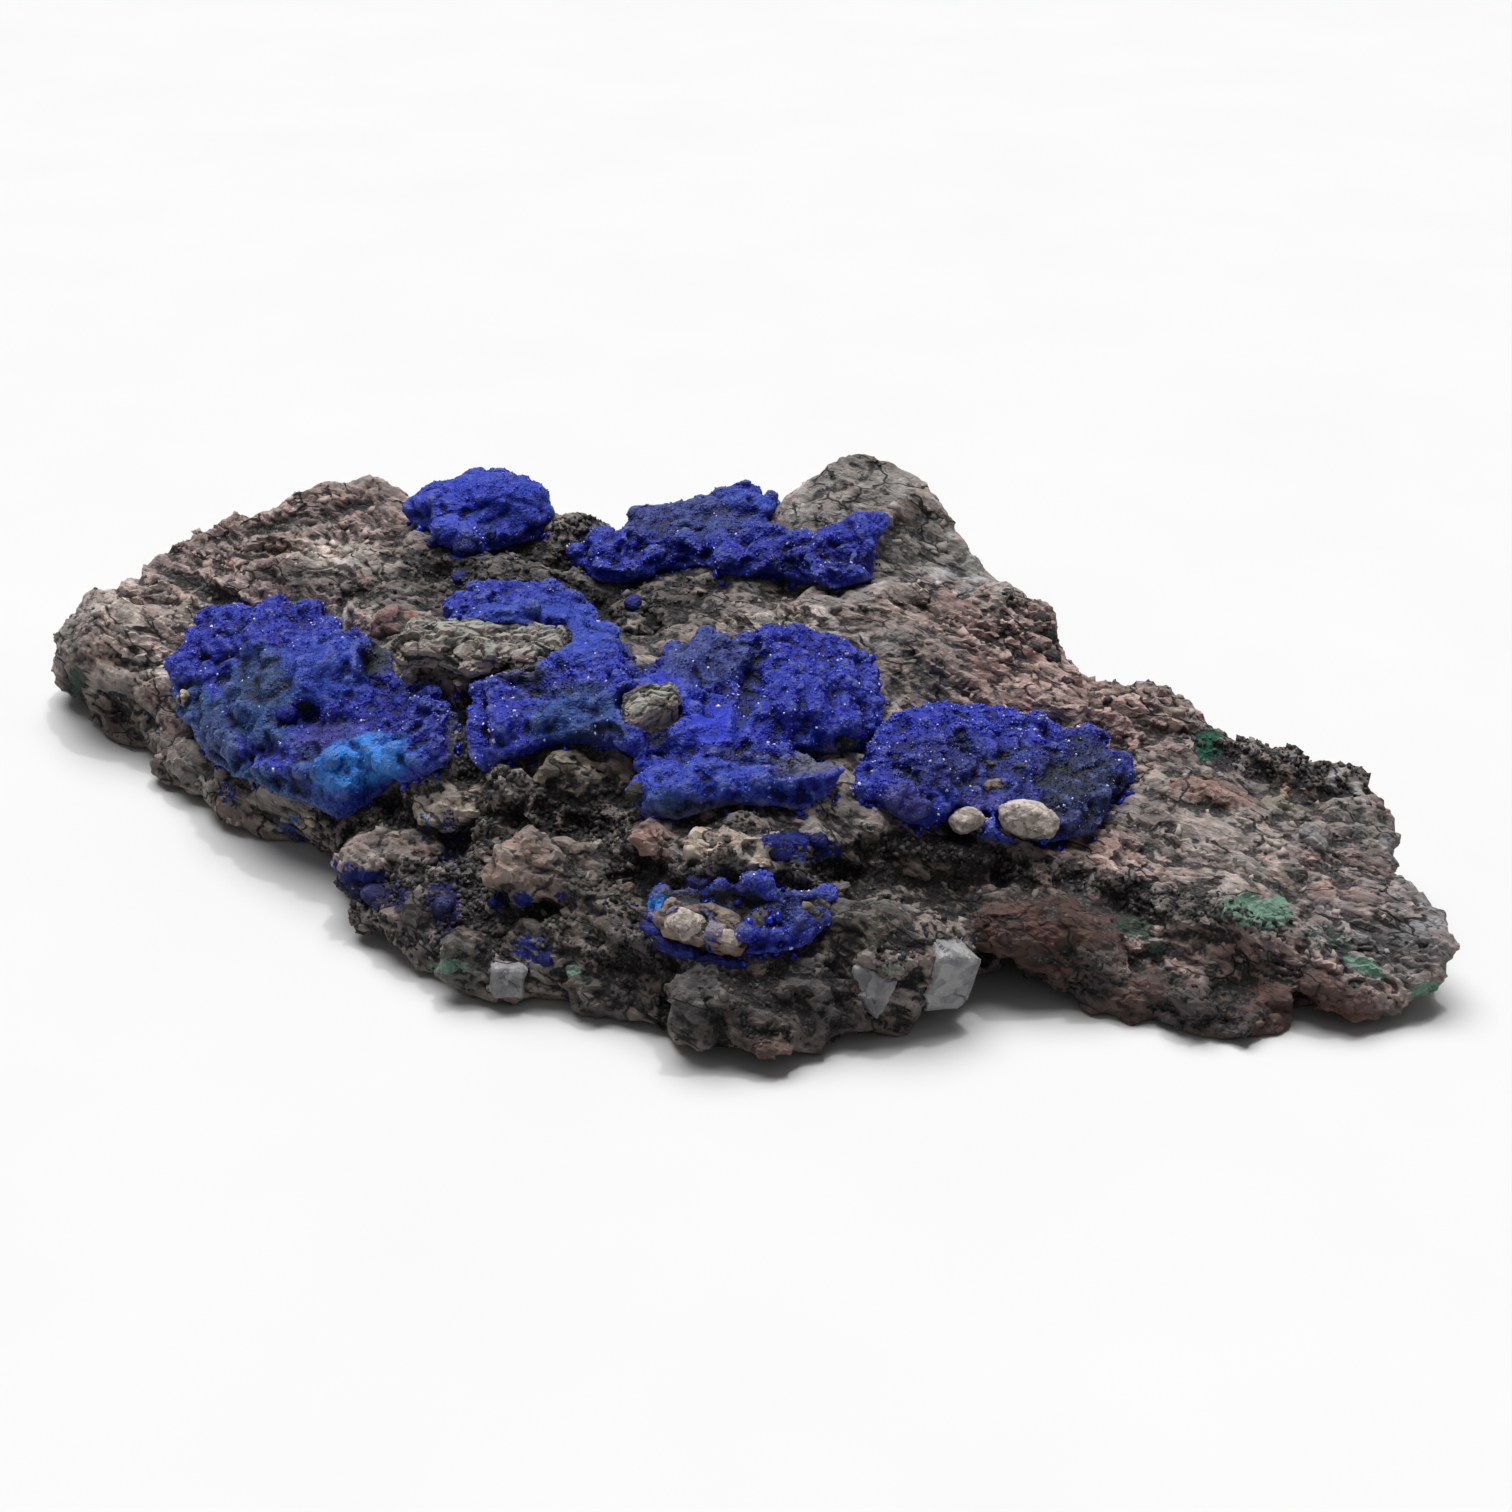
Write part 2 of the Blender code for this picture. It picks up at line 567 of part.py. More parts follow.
def cut_base(obj, helpers):
    """Cuts the object flat at z = 0."""
    ground = bmesh.new()
    size = 400 * MM
    bmesh.ops.create_cube(ground, size=size, matrix=Matrix.Translation((0, 0, -size / 2)))
    subtract(obj, add_object("ground_cutter", mesh_from(ground, "ground"), helpers))
    keep_largest_body(obj)


def build_matrix(parts, helpers):
    """The rock: its node, and the finer raw rock that the crusts grow on."""
    raw = add_object("raw_rock", raw_slab(), helpers)
    voxel_remesh(raw, RAW_VOXEL)
    shape_rock(raw.data)
    voxel_remesh(raw, RAW_VOXEL)
    matrix = add_object("matrix", raw.data.copy(), parts)
    thin_out(matrix, MATRIX_FACES)
    cut_base(matrix, helpers)
    matrix.data.materials.append(finish("matrix"))
    return matrix, raw


# What sits on the rock.


def crust_patch(rock, outline):
    """The part of the rock's surface inside a crust's outline in the front view, evened out."""
    bm = bmesh.new()
    bm.from_mesh(rock)
    bm.normal_update()
    outside = []
    for face in bm.faces:
        centre = face.calc_center_median() / MM
        if face.normal.dot(EYE - centre) < 0 or not inside(outline, *view_place(centre)):
            outside.append(face)
    bmesh.ops.delete(bm, geom=outside, context="FACES")
    for _ in range(4):
        bmesh.ops.smooth_vert(
            bm, verts=bm.verts[:], factor=0.5, use_axis_x=True, use_axis_y=True, use_axis_z=True
        )
    bm.normal_update()
    for vert in bm.verts:
        vert.co -= vert.normal * CRUST_SINK * MM
    return bm


def ball_mesh(name, ball):
    """An ellipsoid where the front view's ray meets the upright plane at its y."""
    across, up, y, half_width, half_depth, half_height = ball
    direction = view_direction(across, up)
    centre = EYE + direction * (y - EYE.y) / direction.y
    bm = bmesh.new()
    bmesh.ops.create_icosphere(bm, subdivisions=3, radius=1)
    bmesh.ops.scale(bm, vec=Vector((half_width, half_depth, half_height)) * MM, verts=bm.verts[:])
    bmesh.ops.translate(bm, vec=centre * MM, verts=bm.verts[:])
    return mesh_from(bm, name)


def add_mesh(obj, mesh):
    """Adds a closed mesh to the object's own, to be fused by a remesh."""
    bm = bmesh.new()
    bm.from_mesh(obj.data)
    bm.from_mesh(mesh)
    bm.to_mesh(obj.data)
    bm.free()


def shape_crust(mesh, crust):
    """Gives a crust its lobes and its small rounded lumps."""
    tree = surface_tree(mesh)
    lobes = []
    for across, up, radius, height in crust.lobes:
        centre, _ = seen_on(tree, across, up)
        if centre is not None:
            lobes.append((centre, centre, radius, height))

    def relief(point, _normal):
        near = noise.voronoi(point / crust.knob_size)[0][0]
        knobs = crust.knob * (1 - 2 * near) + 0.5 * crust.knob * noise.noise(point * 0.6)
        return knobs + sum(bump(point, *lobe) for lobe in lobes)

    displace(mesh, relief)


def build_crust(name, crust, rock, parts):
    """One crust: the rock's surface inside its outline, thickened, fused with its balls and rounded."""
    obj = add_object(name, mesh_from(crust_patch(rock.data, crust.outline), name), parts)
    shell = obj.modifiers.new("thickness", "SOLIDIFY")
    shell.thickness = (crust.thickness + CRUST_SINK) * MM
    shell.offset = 1.0
    bake_modifiers(obj)
    for ball in crust.balls:
        add_mesh(obj, ball_mesh(name + "_ball", ball))
    voxel_remesh(obj, CRUST_VOXEL)
    rounding = obj.modifiers.new("round off", "SMOOTH")
    rounding.factor = 0.5
    rounding.iterations = 5
    bake_modifiers(obj)
    shape_crust(obj.data, crust)
    voxel_remesh(obj, CRUST_VOXEL)
    thin_out(obj, crust.faces)
    obj.data.materials.append(finish("azurite"))
    return obj


def stone_mesh(name, stone):
    """A stone about its own centre: a pebble, or a block with bevelled edges, made a little uneven."""
    bm = bmesh.new()
    if stone.round:
        bmesh.ops.create_icosphere(bm, subdivisions=2, radius=0.5)
    else:
        bmesh.ops.create_cube(bm, size=1)
        bmesh.ops.subdivide_edges(bm, edges=bm.edges[:], cuts=1, use_grid_fill=True)
    bmesh.ops.scale(bm, vec=stone.size, verts=bm.verts[:])
    if not stone.round:
        sharp = [edge for edge in bm.edges if edge.calc_face_angle(0) > 1]
        bmesh.ops.bevel(
            bm, geom=sharp, offset=BLOCK_BEVEL, segments=1, profile=0.5, affect="EDGES", material=-1
        )
    seed = Vector((stone.across, stone.up, 0))
    for vert in bm.verts:
        vert.co += vert.co.normalized() * noise.noise(vert.co * 0.6 + seed) * STONE_ROUGHNESS
    bmesh.ops.scale(bm, vec=(MM, MM, MM), verts=bm.verts[:])
    bmesh.ops.triangulate(bm, faces=bm.faces[:])
    return mesh_from(bm, name)


def build_stone(name, stone, tree, parts):
    """One stone, set on the surface that its place in the front view shows."""
    point, normal = seen_on(tree, stone.across, stone.up)
    obj = add_object(name, stone_mesh(name, stone), parts)
    obj.location = (point + normal * stone.rise) * MM
    obj.rotation_euler = [math.radians(angle) for angle in stone.turn]
    obj.data.materials.append(finish(stone.slot))
    return obj


def cutter_of(obj, helpers):
    """A hidden copy of the object, larger by the gap all round."""
    cutter = add_object(obj.name + "_cutter", evaluated_mesh(obj), helpers)
    displace(cutter.data, lambda _point, _normal: GAP)
    return cutter


def centre_on_origin(parts):
    """Hangs the parts on an empty that puts the middle of their box over the origin."""
    corners = np.array([obj.matrix_world @ vert.co for obj in parts.objects for vert in obj.data.vertices])
    middle = (corners.min(axis=0) + corners.max(axis=0)) / 2
    holder = bpy.data.objects.new("specimen", None)
    holder.location = (-middle[0], -middle[1], 0)
    for obj in parts.objects:
        obj.parent = holder
    parts.objects.link(holder)


def main():
    """Builds the rock, then the stones and the crusts, each cut to what it sits on."""
    clear_scene()
    parts = new_collection("azurite_specimen")
    helpers = new_collection("cutters")
    matrix, raw = build_matrix(parts, helpers)
    tree = surface_tree(matrix.data)
    rock_cutter = cutter_of(matrix, helpers)
    stones = [build_stone(name, stone, tree, parts) for name, stone in STONES.items()]
    for stone in stones:
        subtract(stone, rock_cutter)
        keep_largest_body(stone)
    cutters = [rock_cutter] + [cutter_of(stone, helpers) for stone in stones]
    for name, crust in CRUSTS.items():
        grown = build_crust(name, crust, raw, parts)
        for cutter in cutters:
            subtract(grown, cutter)
        keep_largest_body(grown)
        cutters.append(cutter_of(grown, helpers))
    centre_on_origin(parts)
    for obj in helpers.objects:
        obj.hide_render = True
        obj.display_type = "WIRE"


if __name__ == "__main__":
    main()
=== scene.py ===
"""Dresses the azurite specimen: a broken slab of layered arkose with crusts of azurite on it.

Lengths are in millimetres unless a name says otherwise. Places on the front are told in the pixels
of its square front view, u to the right and v down.
"""

from __future__ import annotations

import logging
import math
from dataclasses import dataclass, field, replace
from enum import Enum
from functools import reduce
from typing import Iterable, Sequence

import bmesh
import bpy
import numpy as np
from mathutils import Matrix, Vector, noise
from mathutils.bvhtree import BVHTree

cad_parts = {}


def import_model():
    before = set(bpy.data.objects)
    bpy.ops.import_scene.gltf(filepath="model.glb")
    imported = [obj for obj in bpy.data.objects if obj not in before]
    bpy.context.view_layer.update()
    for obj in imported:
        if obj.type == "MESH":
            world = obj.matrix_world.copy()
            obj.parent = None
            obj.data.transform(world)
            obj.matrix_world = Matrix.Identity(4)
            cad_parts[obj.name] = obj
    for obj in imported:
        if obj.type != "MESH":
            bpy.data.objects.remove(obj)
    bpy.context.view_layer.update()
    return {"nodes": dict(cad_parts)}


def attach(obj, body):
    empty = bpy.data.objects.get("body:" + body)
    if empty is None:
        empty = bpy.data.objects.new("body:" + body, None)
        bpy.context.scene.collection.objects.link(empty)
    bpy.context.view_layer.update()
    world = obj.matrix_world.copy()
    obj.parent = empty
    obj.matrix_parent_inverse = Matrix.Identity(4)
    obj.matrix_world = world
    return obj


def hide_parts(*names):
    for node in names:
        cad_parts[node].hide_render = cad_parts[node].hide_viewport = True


LOG = logging.getLogger("azurite")
MM = 0.001
MERGE_WITHIN = 1e-6  # metres
VIEW_PX = 1512.0
UP = Vector((0.0, 0.0, 1.0))
Array = np.ndarray
Rgb = tuple[float, float, float]
Nodes = dict[str, bpy.types.Object]
Socket = bpy.types.NodeSocket
Value = object  # a number, a colour or another node's socket


def srgb(red: float, green: float, blue: float) -> Rgb:
    """A colour of 0 to 255 a channel, as the linear numbers that a shader takes."""
    return tuple(((c / 255.0 + 0.055) / 1.055) ** 2.4 if c > 10 else c / 3294.6 for c in (red, green, blue))


def ease(value: Array, low: float, high: float) -> Array:
    """0 below low, 1 above high, and a smooth step between; low may be the larger one."""
    t = np.clip((value - low) / (high - low), 0.0, 1.0)
    return t * t * (3.0 - 2.0 * t)


def hashed(cells: Array, salt: float) -> Array:
    """An even random number from 0 to 1 for each cell's middle, the same for the same middle."""
    wave = np.sin(cells @ np.array([12.9898, 78.233, 37.719]) + salt) * 43758.5453
    return wave - np.floor(wave)


def rows_of(row: Sequence[float], count: int) -> Array:
    """An array of so many rows that are all the same."""
    return np.tile(np.array(row), (count, 1))


def between(ends: tuple[float, float], share: float | Array) -> float | Array:
    """What lies at that share of the way from the first end to the second."""
    return ends[0] + (ends[1] - ends[0]) * share


def unit(rows: Array) -> Array:
    """Rows brought to a length of 1."""
    return rows / np.linalg.norm(rows, axis=1)[:, None]


def read(items: bpy.types.bpy_prop_collection, name: str, width: int, kind: type = float) -> Array:
    """One field of all the items of a mesh, in rows of that width."""
    flat = np.empty(len(items) * width, dtype=kind)
    items.foreach_get(name, flat)
    return flat.reshape(-1, width)


@dataclass(frozen=True)
class FrontView:
    """The side that the specimen is shown from."""

    eye: tuple[float, float, float] = (8.404, -314.017, 163.0)
    aim: tuple[float, float, float] = (8.404, -8.417, 14.0)
    width: float = 174.0

    def axes(self) -> Array:
        """The view's right, up and ahead directions, a row each."""
        ahead = (Vector(self.aim) - Vector(self.eye)).normalized()
        right = ahead.cross(UP).normalized()
        return np.array([right, right.cross(ahead), ahead])

    def distance(self) -> float:
        """How far the eye is from the point that it looks at."""
        return (Vector(self.aim) - Vector(self.eye)).length

    def focal(self) -> float:
        """The distance from the eye at which a unit is as large as a pixel."""
        return VIEW_PX * self.distance() / self.width

    def places(self, points: Array) -> tuple[Array, Array, Array]:
        """Where points are seen.

        Args:
            points: an array of places, a row each.

        Returns:
            Their u, v and depth from the eye.
        """
        seen = (points - np.array(self.eye)) @ self.axes().T
        u = VIEW_PX / 2 + self.focal() * seen[:, 0] / seen[:, 2]
        v = VIEW_PX / 2 - self.focal() * seen[:, 1] / seen[:, 2]
        return u, v, seen[:, 2]

    def ray(self, u: float, v: float) -> Vector:
        """The direction in which the place u, v is seen."""
        right, up, ahead = self.axes()
        return Vector(ahead * self.focal() + right * (u - VIEW_PX / 2) + up * (VIEW_PX / 2 - v)).normalized()


VIEW = FrontView()


# ---- Surfaces ----------------------------------------------------------------------------------


class Surface:
    """A closed mesh being worked, with its points and normals as arrays."""

    def __init__(self, obj: bpy.types.Object) -> None:
        """Args: obj, a mesh object at the origin."""
        self.obj = obj
        self.refresh()

    def refresh(self) -> None:
        """Reads the points and normals again."""
        self.points = read(self.obj.data.vertices, "co", 3) / MM
        self.normals = read(self.obj.data.vertex_normals, "vector", 3)

    def shift(self, offsets: Array) -> None:
        """Moves every point by its own offset, kept above the ground."""
        moved = self.points + offsets
        moved[:, 2] = np.maximum(moved[:, 2], 0.0)
        mesh = self.obj.data
        mesh.vertices.foreach_set("co", (moved * MM).ravel())
        mesh.update()
        self.refresh()

    def raise_by(self, heights: Array) -> None:
        """Moves every point along its normal by its own height."""
        self.shift(self.normals * heights[:, None])

    def remeshed(self, voxel: float, smooth: int) -> None:
        """Gives the surface a new even skin, with so many rounds of smoothing."""
        remesh = self.obj.modifiers.new("skin", "REMESH")
        remesh.mode = "VOXEL"
        remesh.voxel_size = voxel * MM
        if smooth:
            soften = self.obj.modifiers.new("soften", "SMOOTH")
            soften.factor = 0.5
            soften.iterations = smooth
        applied(self.obj)
        self.refresh()

    def thin_out(self, hidden: Array, keep: float) -> None:
        """Makes hidden sides of few faces; keep is the share of their points that stays."""
        group = self.obj.vertex_groups.new(name="hidden")
        group.add(np.flatnonzero(hidden).tolist(), 1.0, "REPLACE")
        thin = self.obj.modifiers.new("thin", "DECIMATE")
        thin.vertex_group = group.name
        thin.ratio = 1.0 - (1.0 - keep) * float(np.mean(hidden))
        applied(self.obj)
        self.obj.vertex_groups.clear()
        self.refresh()

    def limited(self, most: int) -> None:
        """Joins faces where the surface is plainest, until there are at most so many triangles."""
        self.obj.data.calc_loop_triangles()
        thin = self.obj.modifiers.new("limit", "DECIMATE")
        thin.ratio = min(1.0, most / len(self.obj.data.loop_triangles))
        applied(self.obj)
        self.refresh()

    def evened(self, values: Array, rounds: int) -> Array:
        """Values of the points, averaged with their neighbours' so many times."""
        count = len(self.obj.data.vertices)
        one, other = read(self.obj.data.edges, "vertices", 2, np.int32).T
        share = np.bincount(one, minlength=count) + np.bincount(other, minlength=count)
        for _ in range(rounds):
            sums = [
                np.bincount(one, column[other], count) + np.bincount(other, column[one], count)
                for column in values.T
            ]
            values = 0.5 * values + 0.5 * np.stack(sums, axis=1) / np.maximum(share, 1)[:, None]
        return values

    def hollows(self, rounds: int) -> Array:
        """How far each point lies below the evened surface; a ridge is below zero."""
        return ((self.evened(self.points, rounds) - self.points) * self.normals).sum(axis=1)

    def hollowness(self, *scales: tuple[int, float, float]) -> Array:
        """How hollow each point is, from -1 to 1.

        Args:
            scales: rounds of evening, the depth that counts as hollow, and its weight, for each scale.

        Returns:
            A number for each point.
        """
        parts = [self.hollows(rounds) / depth * weight for rounds, depth, weight in scales]
        return np.clip(sum(parts), -1.0, 1.0)

    def paint(self, **layers: Array) -> None:
        """Keeps values on the points, each under its name."""
        for name, values in layers.items():
            paint_points(self.obj.data, name, values)

    def triangles(self) -> Array:
        """The corners of each triangle, as rows of three point numbers."""
        self.obj.data.calc_loop_triangles()
        return read(self.obj.data.loop_triangles, "vertices", 3, np.int32)


def mesh_object(name: str, mesh: bpy.types.Mesh) -> bpy.types.Object:
    """A new object of that mesh, in the scene."""
    obj = bpy.data.objects.new(name, mesh)
    bpy.context.scene.collection.objects.link(obj)
    return obj


def bmesh_object(name: str, bm: bmesh.types.BMesh) -> bpy.types.Object:
    """A new object of a finished bmesh, which is freed."""
    mesh = bpy.data.meshes.new(name)
    bm.to_mesh(mesh)
    bm.free()
    return mesh_object(name, mesh)


def merged_copy(name: str, node: bpy.types.Object) -> bpy.types.Object:
    """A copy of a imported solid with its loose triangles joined."""
    bm = bmesh.new()
    bm.from_mesh(node.data)
    bmesh.ops.remove_doubles(bm, verts=bm.verts, dist=MERGE_WITHIN)
    return bmesh_object(name, bm)


def paint_points(mesh: bpy.types.Mesh, name: str, values: Array) -> None:
    """Keeps values on a mesh's points, as a colour where there are three to a point, else as a number."""
    if values.ndim == 2:
        layer = mesh.attributes.new(name, "FLOAT_COLOR", "POINT")
        layer.data.foreach_set("color", np.c_[values, np.ones(len(values))].ravel())
    else:
        layer = mesh.attributes.new(name, "FLOAT", "POINT")
        layer.data.foreach_set("value", values.astype(float))


def applied(obj: bpy.types.Object) -> bpy.types.Object:
    """Makes an object's modifiers part of its mesh."""
    graph = bpy.context.evaluated_depsgraph_get()
    mesh = bpy.data.meshes.new_from_object(obj.evaluated_get(graph))
    old = obj.data
    obj.modifiers.clear()
    obj.data = mesh
    bpy.data.meshes.remove(old)
    return obj


def even_skin(name: str, node: bpy.types.Object, voxel: float, swell: float, smooth: int) -> Surface:
    """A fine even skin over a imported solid.

    Args:
        name: the new object's name.
        node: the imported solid.
        voxel: the distance between the skin's points.
        swell: how far the skin stands off the solid.
        smooth: rounds of smoothing.

    Returns:
        The skin.
    """
    obj = merged_copy(name, node)
    if swell:
        grow = obj.modifiers.new("swell", "DISPLACE")
        grow.mid_level = 0.0
        grow.strength = swell * MM
    skin = Surface(applied(obj))
    skin.remeshed(voxel, smooth)
    return skin


# ---- Relief patterns ---------------------------------------------------------------------------


@dataclass
class Cells:
    """A pattern of uneven cells at given places."""

    gap: Array  # 0 at the edge between two cells
    middle: Array  # the cell's own middle
    offset: Array  # from the middle to the place, in the pattern's size

    @classmethod
    def at(cls, points: Array, size: float, stretch: Array | None = None, seed: float = 0.0) -> Cells:
        """The cells at some places.

        Args:
            points: the places.
            size: the distance between cells.
            stretch: a 3 by 3 matrix that turns and stretches the pattern.
            seed: shifts the pattern.

        Returns:
            The cells.
        """
        placed = points if stretch is None else points @ stretch.T
        placed = placed / size + seed
        gap = np.empty(len(placed))
        middle = np.empty((len(placed), 3))
        for index, place in enumerate(placed.tolist()):
            distances, spots = noise.voronoi(place)
            gap[index] = distances[1] - distances[0]
            middle[index] = spots[0]
        return cls(gap, middle, placed - middle)

    def facets(self, step: float, tilt: float, salt: float) -> Array:
        """Heights of broken, tilted facets, one to a cell."""
        lean = np.stack([hashed(self.middle, salt + k) - 0.5 for k in (1.0, 2.0, 3.0)], axis=1)
        return step * (hashed(self.middle, salt) - 0.5) * 2 + tilt * (lean * self.offset).sum(axis=1) * 2

    def broken(self, step: float, tilt: float, salt: float, crack: float | Array, width: float) -> Array:
        """Heights of broken facets, with cracks of that depth and width between them."""
        return self.facets(step, tilt, salt) - crack * ease(self.gap, width, 0.0)

    def domes(self) -> Array:
        """Heights of rounded lumps, one to a cell, from 0 to about 1."""
        return 1.0 - np.minimum((self.offset**2).sum(axis=1) * 1.6, 1.0)


def cloud(points: Array, size: float, octaves: int = 3, seed: float = 0.0) -> Array:
    """Soft uneven noise, from about -1 to 1."""
    placed = (points / size + seed).tolist()
    return np.array([noise.fractal(p, 1.0, 2.0, octaves) for p in placed])


def bent(points: Array, size: float, amount: float) -> Array:
    """Places moved by soft noise of that size."""
    return points + np.stack([cloud(points, size, 2, seed=s) for s in (1.0, 2.0, 3.0)], axis=1) * amount


def crags(points: Array, size: float, seed: float) -> Array:
    """Sharp ridges and rounded hollows between them, from about -1 to 1."""
    placed = (points / size + seed).tolist()
    return np.array([noise.ridged_multi_fractal(p, 0.9, 2.1, 4, 1.0, 2.0) for p in placed]) - 1.1


def layer_axes(normal: Sequence[float], squash: float) -> Array:
    """A matrix that presses a pattern flat along a normal, so that its cells are slabs."""
    n = Vector(normal).normalized()
    side = n.orthogonal().normalized()
    other = n.cross(side)
    turn = np.array([side, other, n])
    return turn.T @ np.diag([1.0, 1.0, squash]) @ turn


# ---- Places on the front -----------------------------------------------------------------------


PATCH_DEPTH = (6.0, 0.4)  # how far a patch reaches in depth: a fixed part, and one for each pixel of its size
FORESHORTENING = 2.2  # how much longer the top's depth is than it looks


@dataclass(frozen=True)
class Patch:
    """A soft-edged oval of one look on the front."""

    u: float
    v: float
    half_u: float
    half_v: float
    look: Enum
    turn: float = 0.0  # degrees, clockwise in the view
    lift: float = 0.0  # height of the lump that it makes
    amount: float = 1.0
    hard: float = 0.5  # 0 for a very soft edge, 1 for a sharp one

    def share(self, u: Array, v: Array, wobble: Array) -> Array:
        """How far each place is in it, 1 in the middle and 0 outside."""
        turn = math.radians(self.turn)
        du, dv = u - self.u, v - self.v
        along = (du * math.cos(turn) + dv * math.sin(turn)) / self.half_u
        across = (-du * math.sin(turn) + dv * math.cos(turn)) / self.half_v
        reach = np.sqrt(along**2 + across**2) + wobble
        edge = 0.55 * (1.0 - self.hard) + 0.06
        return ease(reach, 1.0 + edge, 1.0 - edge)


@dataclass
class Sight:
    """How a surface's points are seen from the front, for laying patches on it."""

    u: Array
    v: Array
    depth: Array
    facing: Array
    wobble: Array
    tree: BVHTree

    @classmethod
    def of(cls, surface: Surface, tree: BVHTree, wobble: Array) -> Sight:
        """The sight of a surface.

        Args:
            surface: the surface.
            tree: what it is seen against.
            wobble: what makes the patches' edges uneven.

        Returns:
            The sight.
        """
        rays = unit(surface.points - np.array(VIEW.eye))
        facing = -(rays * surface.normals).sum(axis=1)
        return cls(*VIEW.places(surface.points), facing, wobble, tree)

    def share(self, patch: Patch, calm: float = 1.0) -> Array:
        """A patch's share of each point, only on the side that is seen and near the patch's own depth.

        Args:
            patch: the patch.
            calm: what the wobble of its edge is multiplied by.

        Returns:
            A number from 0 to 1 for each point.
        """
        share = patch.share(self.u, self.v, self.wobble * calm) * ease(self.facing, -0.35, 0.0)
        spot = self.tree.ray_cast(Vector(VIEW.eye), VIEW.ray(patch.u, patch.v))[0]
        if spot is None:
            return share
        middle = VIEW.places(np.array([spot]))[2][0]
        room = PATCH_DEPTH[0] + PATCH_DEPTH[1] * max(patch.half_u, patch.half_v * FORESHORTENING)
        return share * ease(np.abs(self.depth - middle), room * 1.3, room)


# ---- Looks -------------------------------------------------------------------------------------


@dataclass(frozen=True)
class RockLook:
    """One kind of the rock: its clean colour, and how it is coated and broken."""

    colour: Rgb
    soot: float  # share of the black coating
    layers: float  # strength of the bedding's ledges
    grain: float  # strength of the granular relief
    block: float  # strength of the broken facets
    streak: float = 0.3  # strength of the dark and pale streaks along the bedding

    def numbers(self) -> list[float]:
        """Its values in a row: colour, soot, layers, grain, block, streak."""
        return [*self.colour, self.soot, self.layers, self.grain, self.block, self.streak]


class Rock(Enum):
    """The kinds of rock in the slab."""

    MOTTLED = RockLook(srgb(150, 140, 135), 0.42, 0.8, 0.25, 0.9, 0.5)
    BEIGE = RockLook(srgb(200, 184, 175), 0.24, 1.3, 0.0, 0.2, 0.7)
    PINKISH = RockLook(srgb(170, 150, 145), 0.34, 1.6, 0.0, 0.2, 0.9)
    CREAM = RockLook(srgb(196, 184, 175), 0.18, 1.2, 0.0, 0.2, 0.8)
    ASH = RockLook(srgb(112, 106, 103), 0.58, 0.8, 0.6, 0.8, 0.5)
    CLASTS = RockLook(srgb(158, 151, 146), 0.38, 0.4, 0.05, 0.6, 0.5)
    ROSE = RockLook(srgb(182, 156, 149), 0.30, 1.6, 0.05, 0.8, 1.0)
    RUST = RockLook(srgb(90, 68, 63), 0.30, 0.3, 0.1, 0.4, 0.5)
    UMBER = RockLook(srgb(88, 81, 79), 0.58, 0.5, 0.6, 1.1, 0.3)
    SOOTY = RockLook(srgb(128, 120, 117), 0.62, 0.7, 0.8, 1.3, 0.5)
    SLATE = RockLook(srgb(138, 134, 134), 0.40, 1.5, 0.0, 0.5, 1.0)
    PALE = RockLook(srgb(178, 178, 180), 0.20, 0.3, 0.1, 0.7)
    # near-black rock for cracks, pits and the edges under the crusts: partly the black coat, partly painted
    # shade
    PIT = RockLook(srgb(38, 36, 36), 0.96, 0.2, 0.6, 0.6)


@dataclass(frozen=True)
class StainLook:
    """A thin coat of a copper mineral on the rock."""

    colour: Rgb


class Stain(Enum):
    """The copper minerals that coat the rock."""

    MALACHITE = StainLook(srgb(122, 156, 138))
    EMERALD = StainLook(srgb(40, 104, 82))
    MOSS = StainLook(srgb(62, 80, 72))
    AZURE = StainLook(srgb(34, 48, 132))
    INDIGO = StainLook(srgb(34, 34, 92))
    SKY = StainLook(srgb(34, 96, 168))


@dataclass(frozen=True)
class CrustLook:
    """One kind of azurite: its colour and how its surface has grown."""

    colour: Rgb
    druse: float  # share of the surface with sparkling crystals
    lumps: float  # height of its rounded lumps
    soot: float = 0.12  # share of black grains between the crystals

    def numbers(self) -> list[float]:
        """Its values in a row: colour, druse, lumps, soot."""
        return [*self.colour, self.druse, self.lumps, self.soot]


class Blue(Enum):
    """The kinds of azurite in the crusts."""

    ULTRAMARINE = CrustLook(srgb(28, 42, 158), 1.0, 1.0, 0.12)
    COBALT = CrustLook(srgb(38, 64, 168), 0.4, 0.6, 0.04)
    BRIGHT = CrustLook(srgb(22, 46, 184), 0.3, 0.5, 0.0)
    DEEP = CrustLook(srgb(20, 30, 140), 1.0, 1.0, 0.16)
    SKY = CrustLook(srgb(42, 124, 208), 0.25, 0.8, 0.08)
    TEAL = CrustLook(srgb(30, 70, 120), 0.4, 1.0, 0.20)
    SATIN = CrustLook(srgb(38, 60, 176), 0.2, 0.35, 0.02)
    VIOLET = CrustLook(srgb(58, 54, 134), 0.4, 0.6, 0.1)
    SMOKE = CrustLook(srgb(54, 66, 116), 0.6, 0.8, 0.32)
    INK = CrustLook(srgb(26, 34, 56), 0.6, 1.0, 0.52)
    OLIVE = CrustLook(srgb(104, 100, 86), 0.1, 0.5, 0.4)
    TAN = CrustLook(srgb(150, 132, 122), 0.0, 0.6, 0.3)
    # near-black for the crusts' notches, cracks and pocket: partly the dark rock between the crusts, partly
    # painted shade
    CHAR = CrustLook(srgb(44, 42, 44), 0.0, 0.8, 0.6)


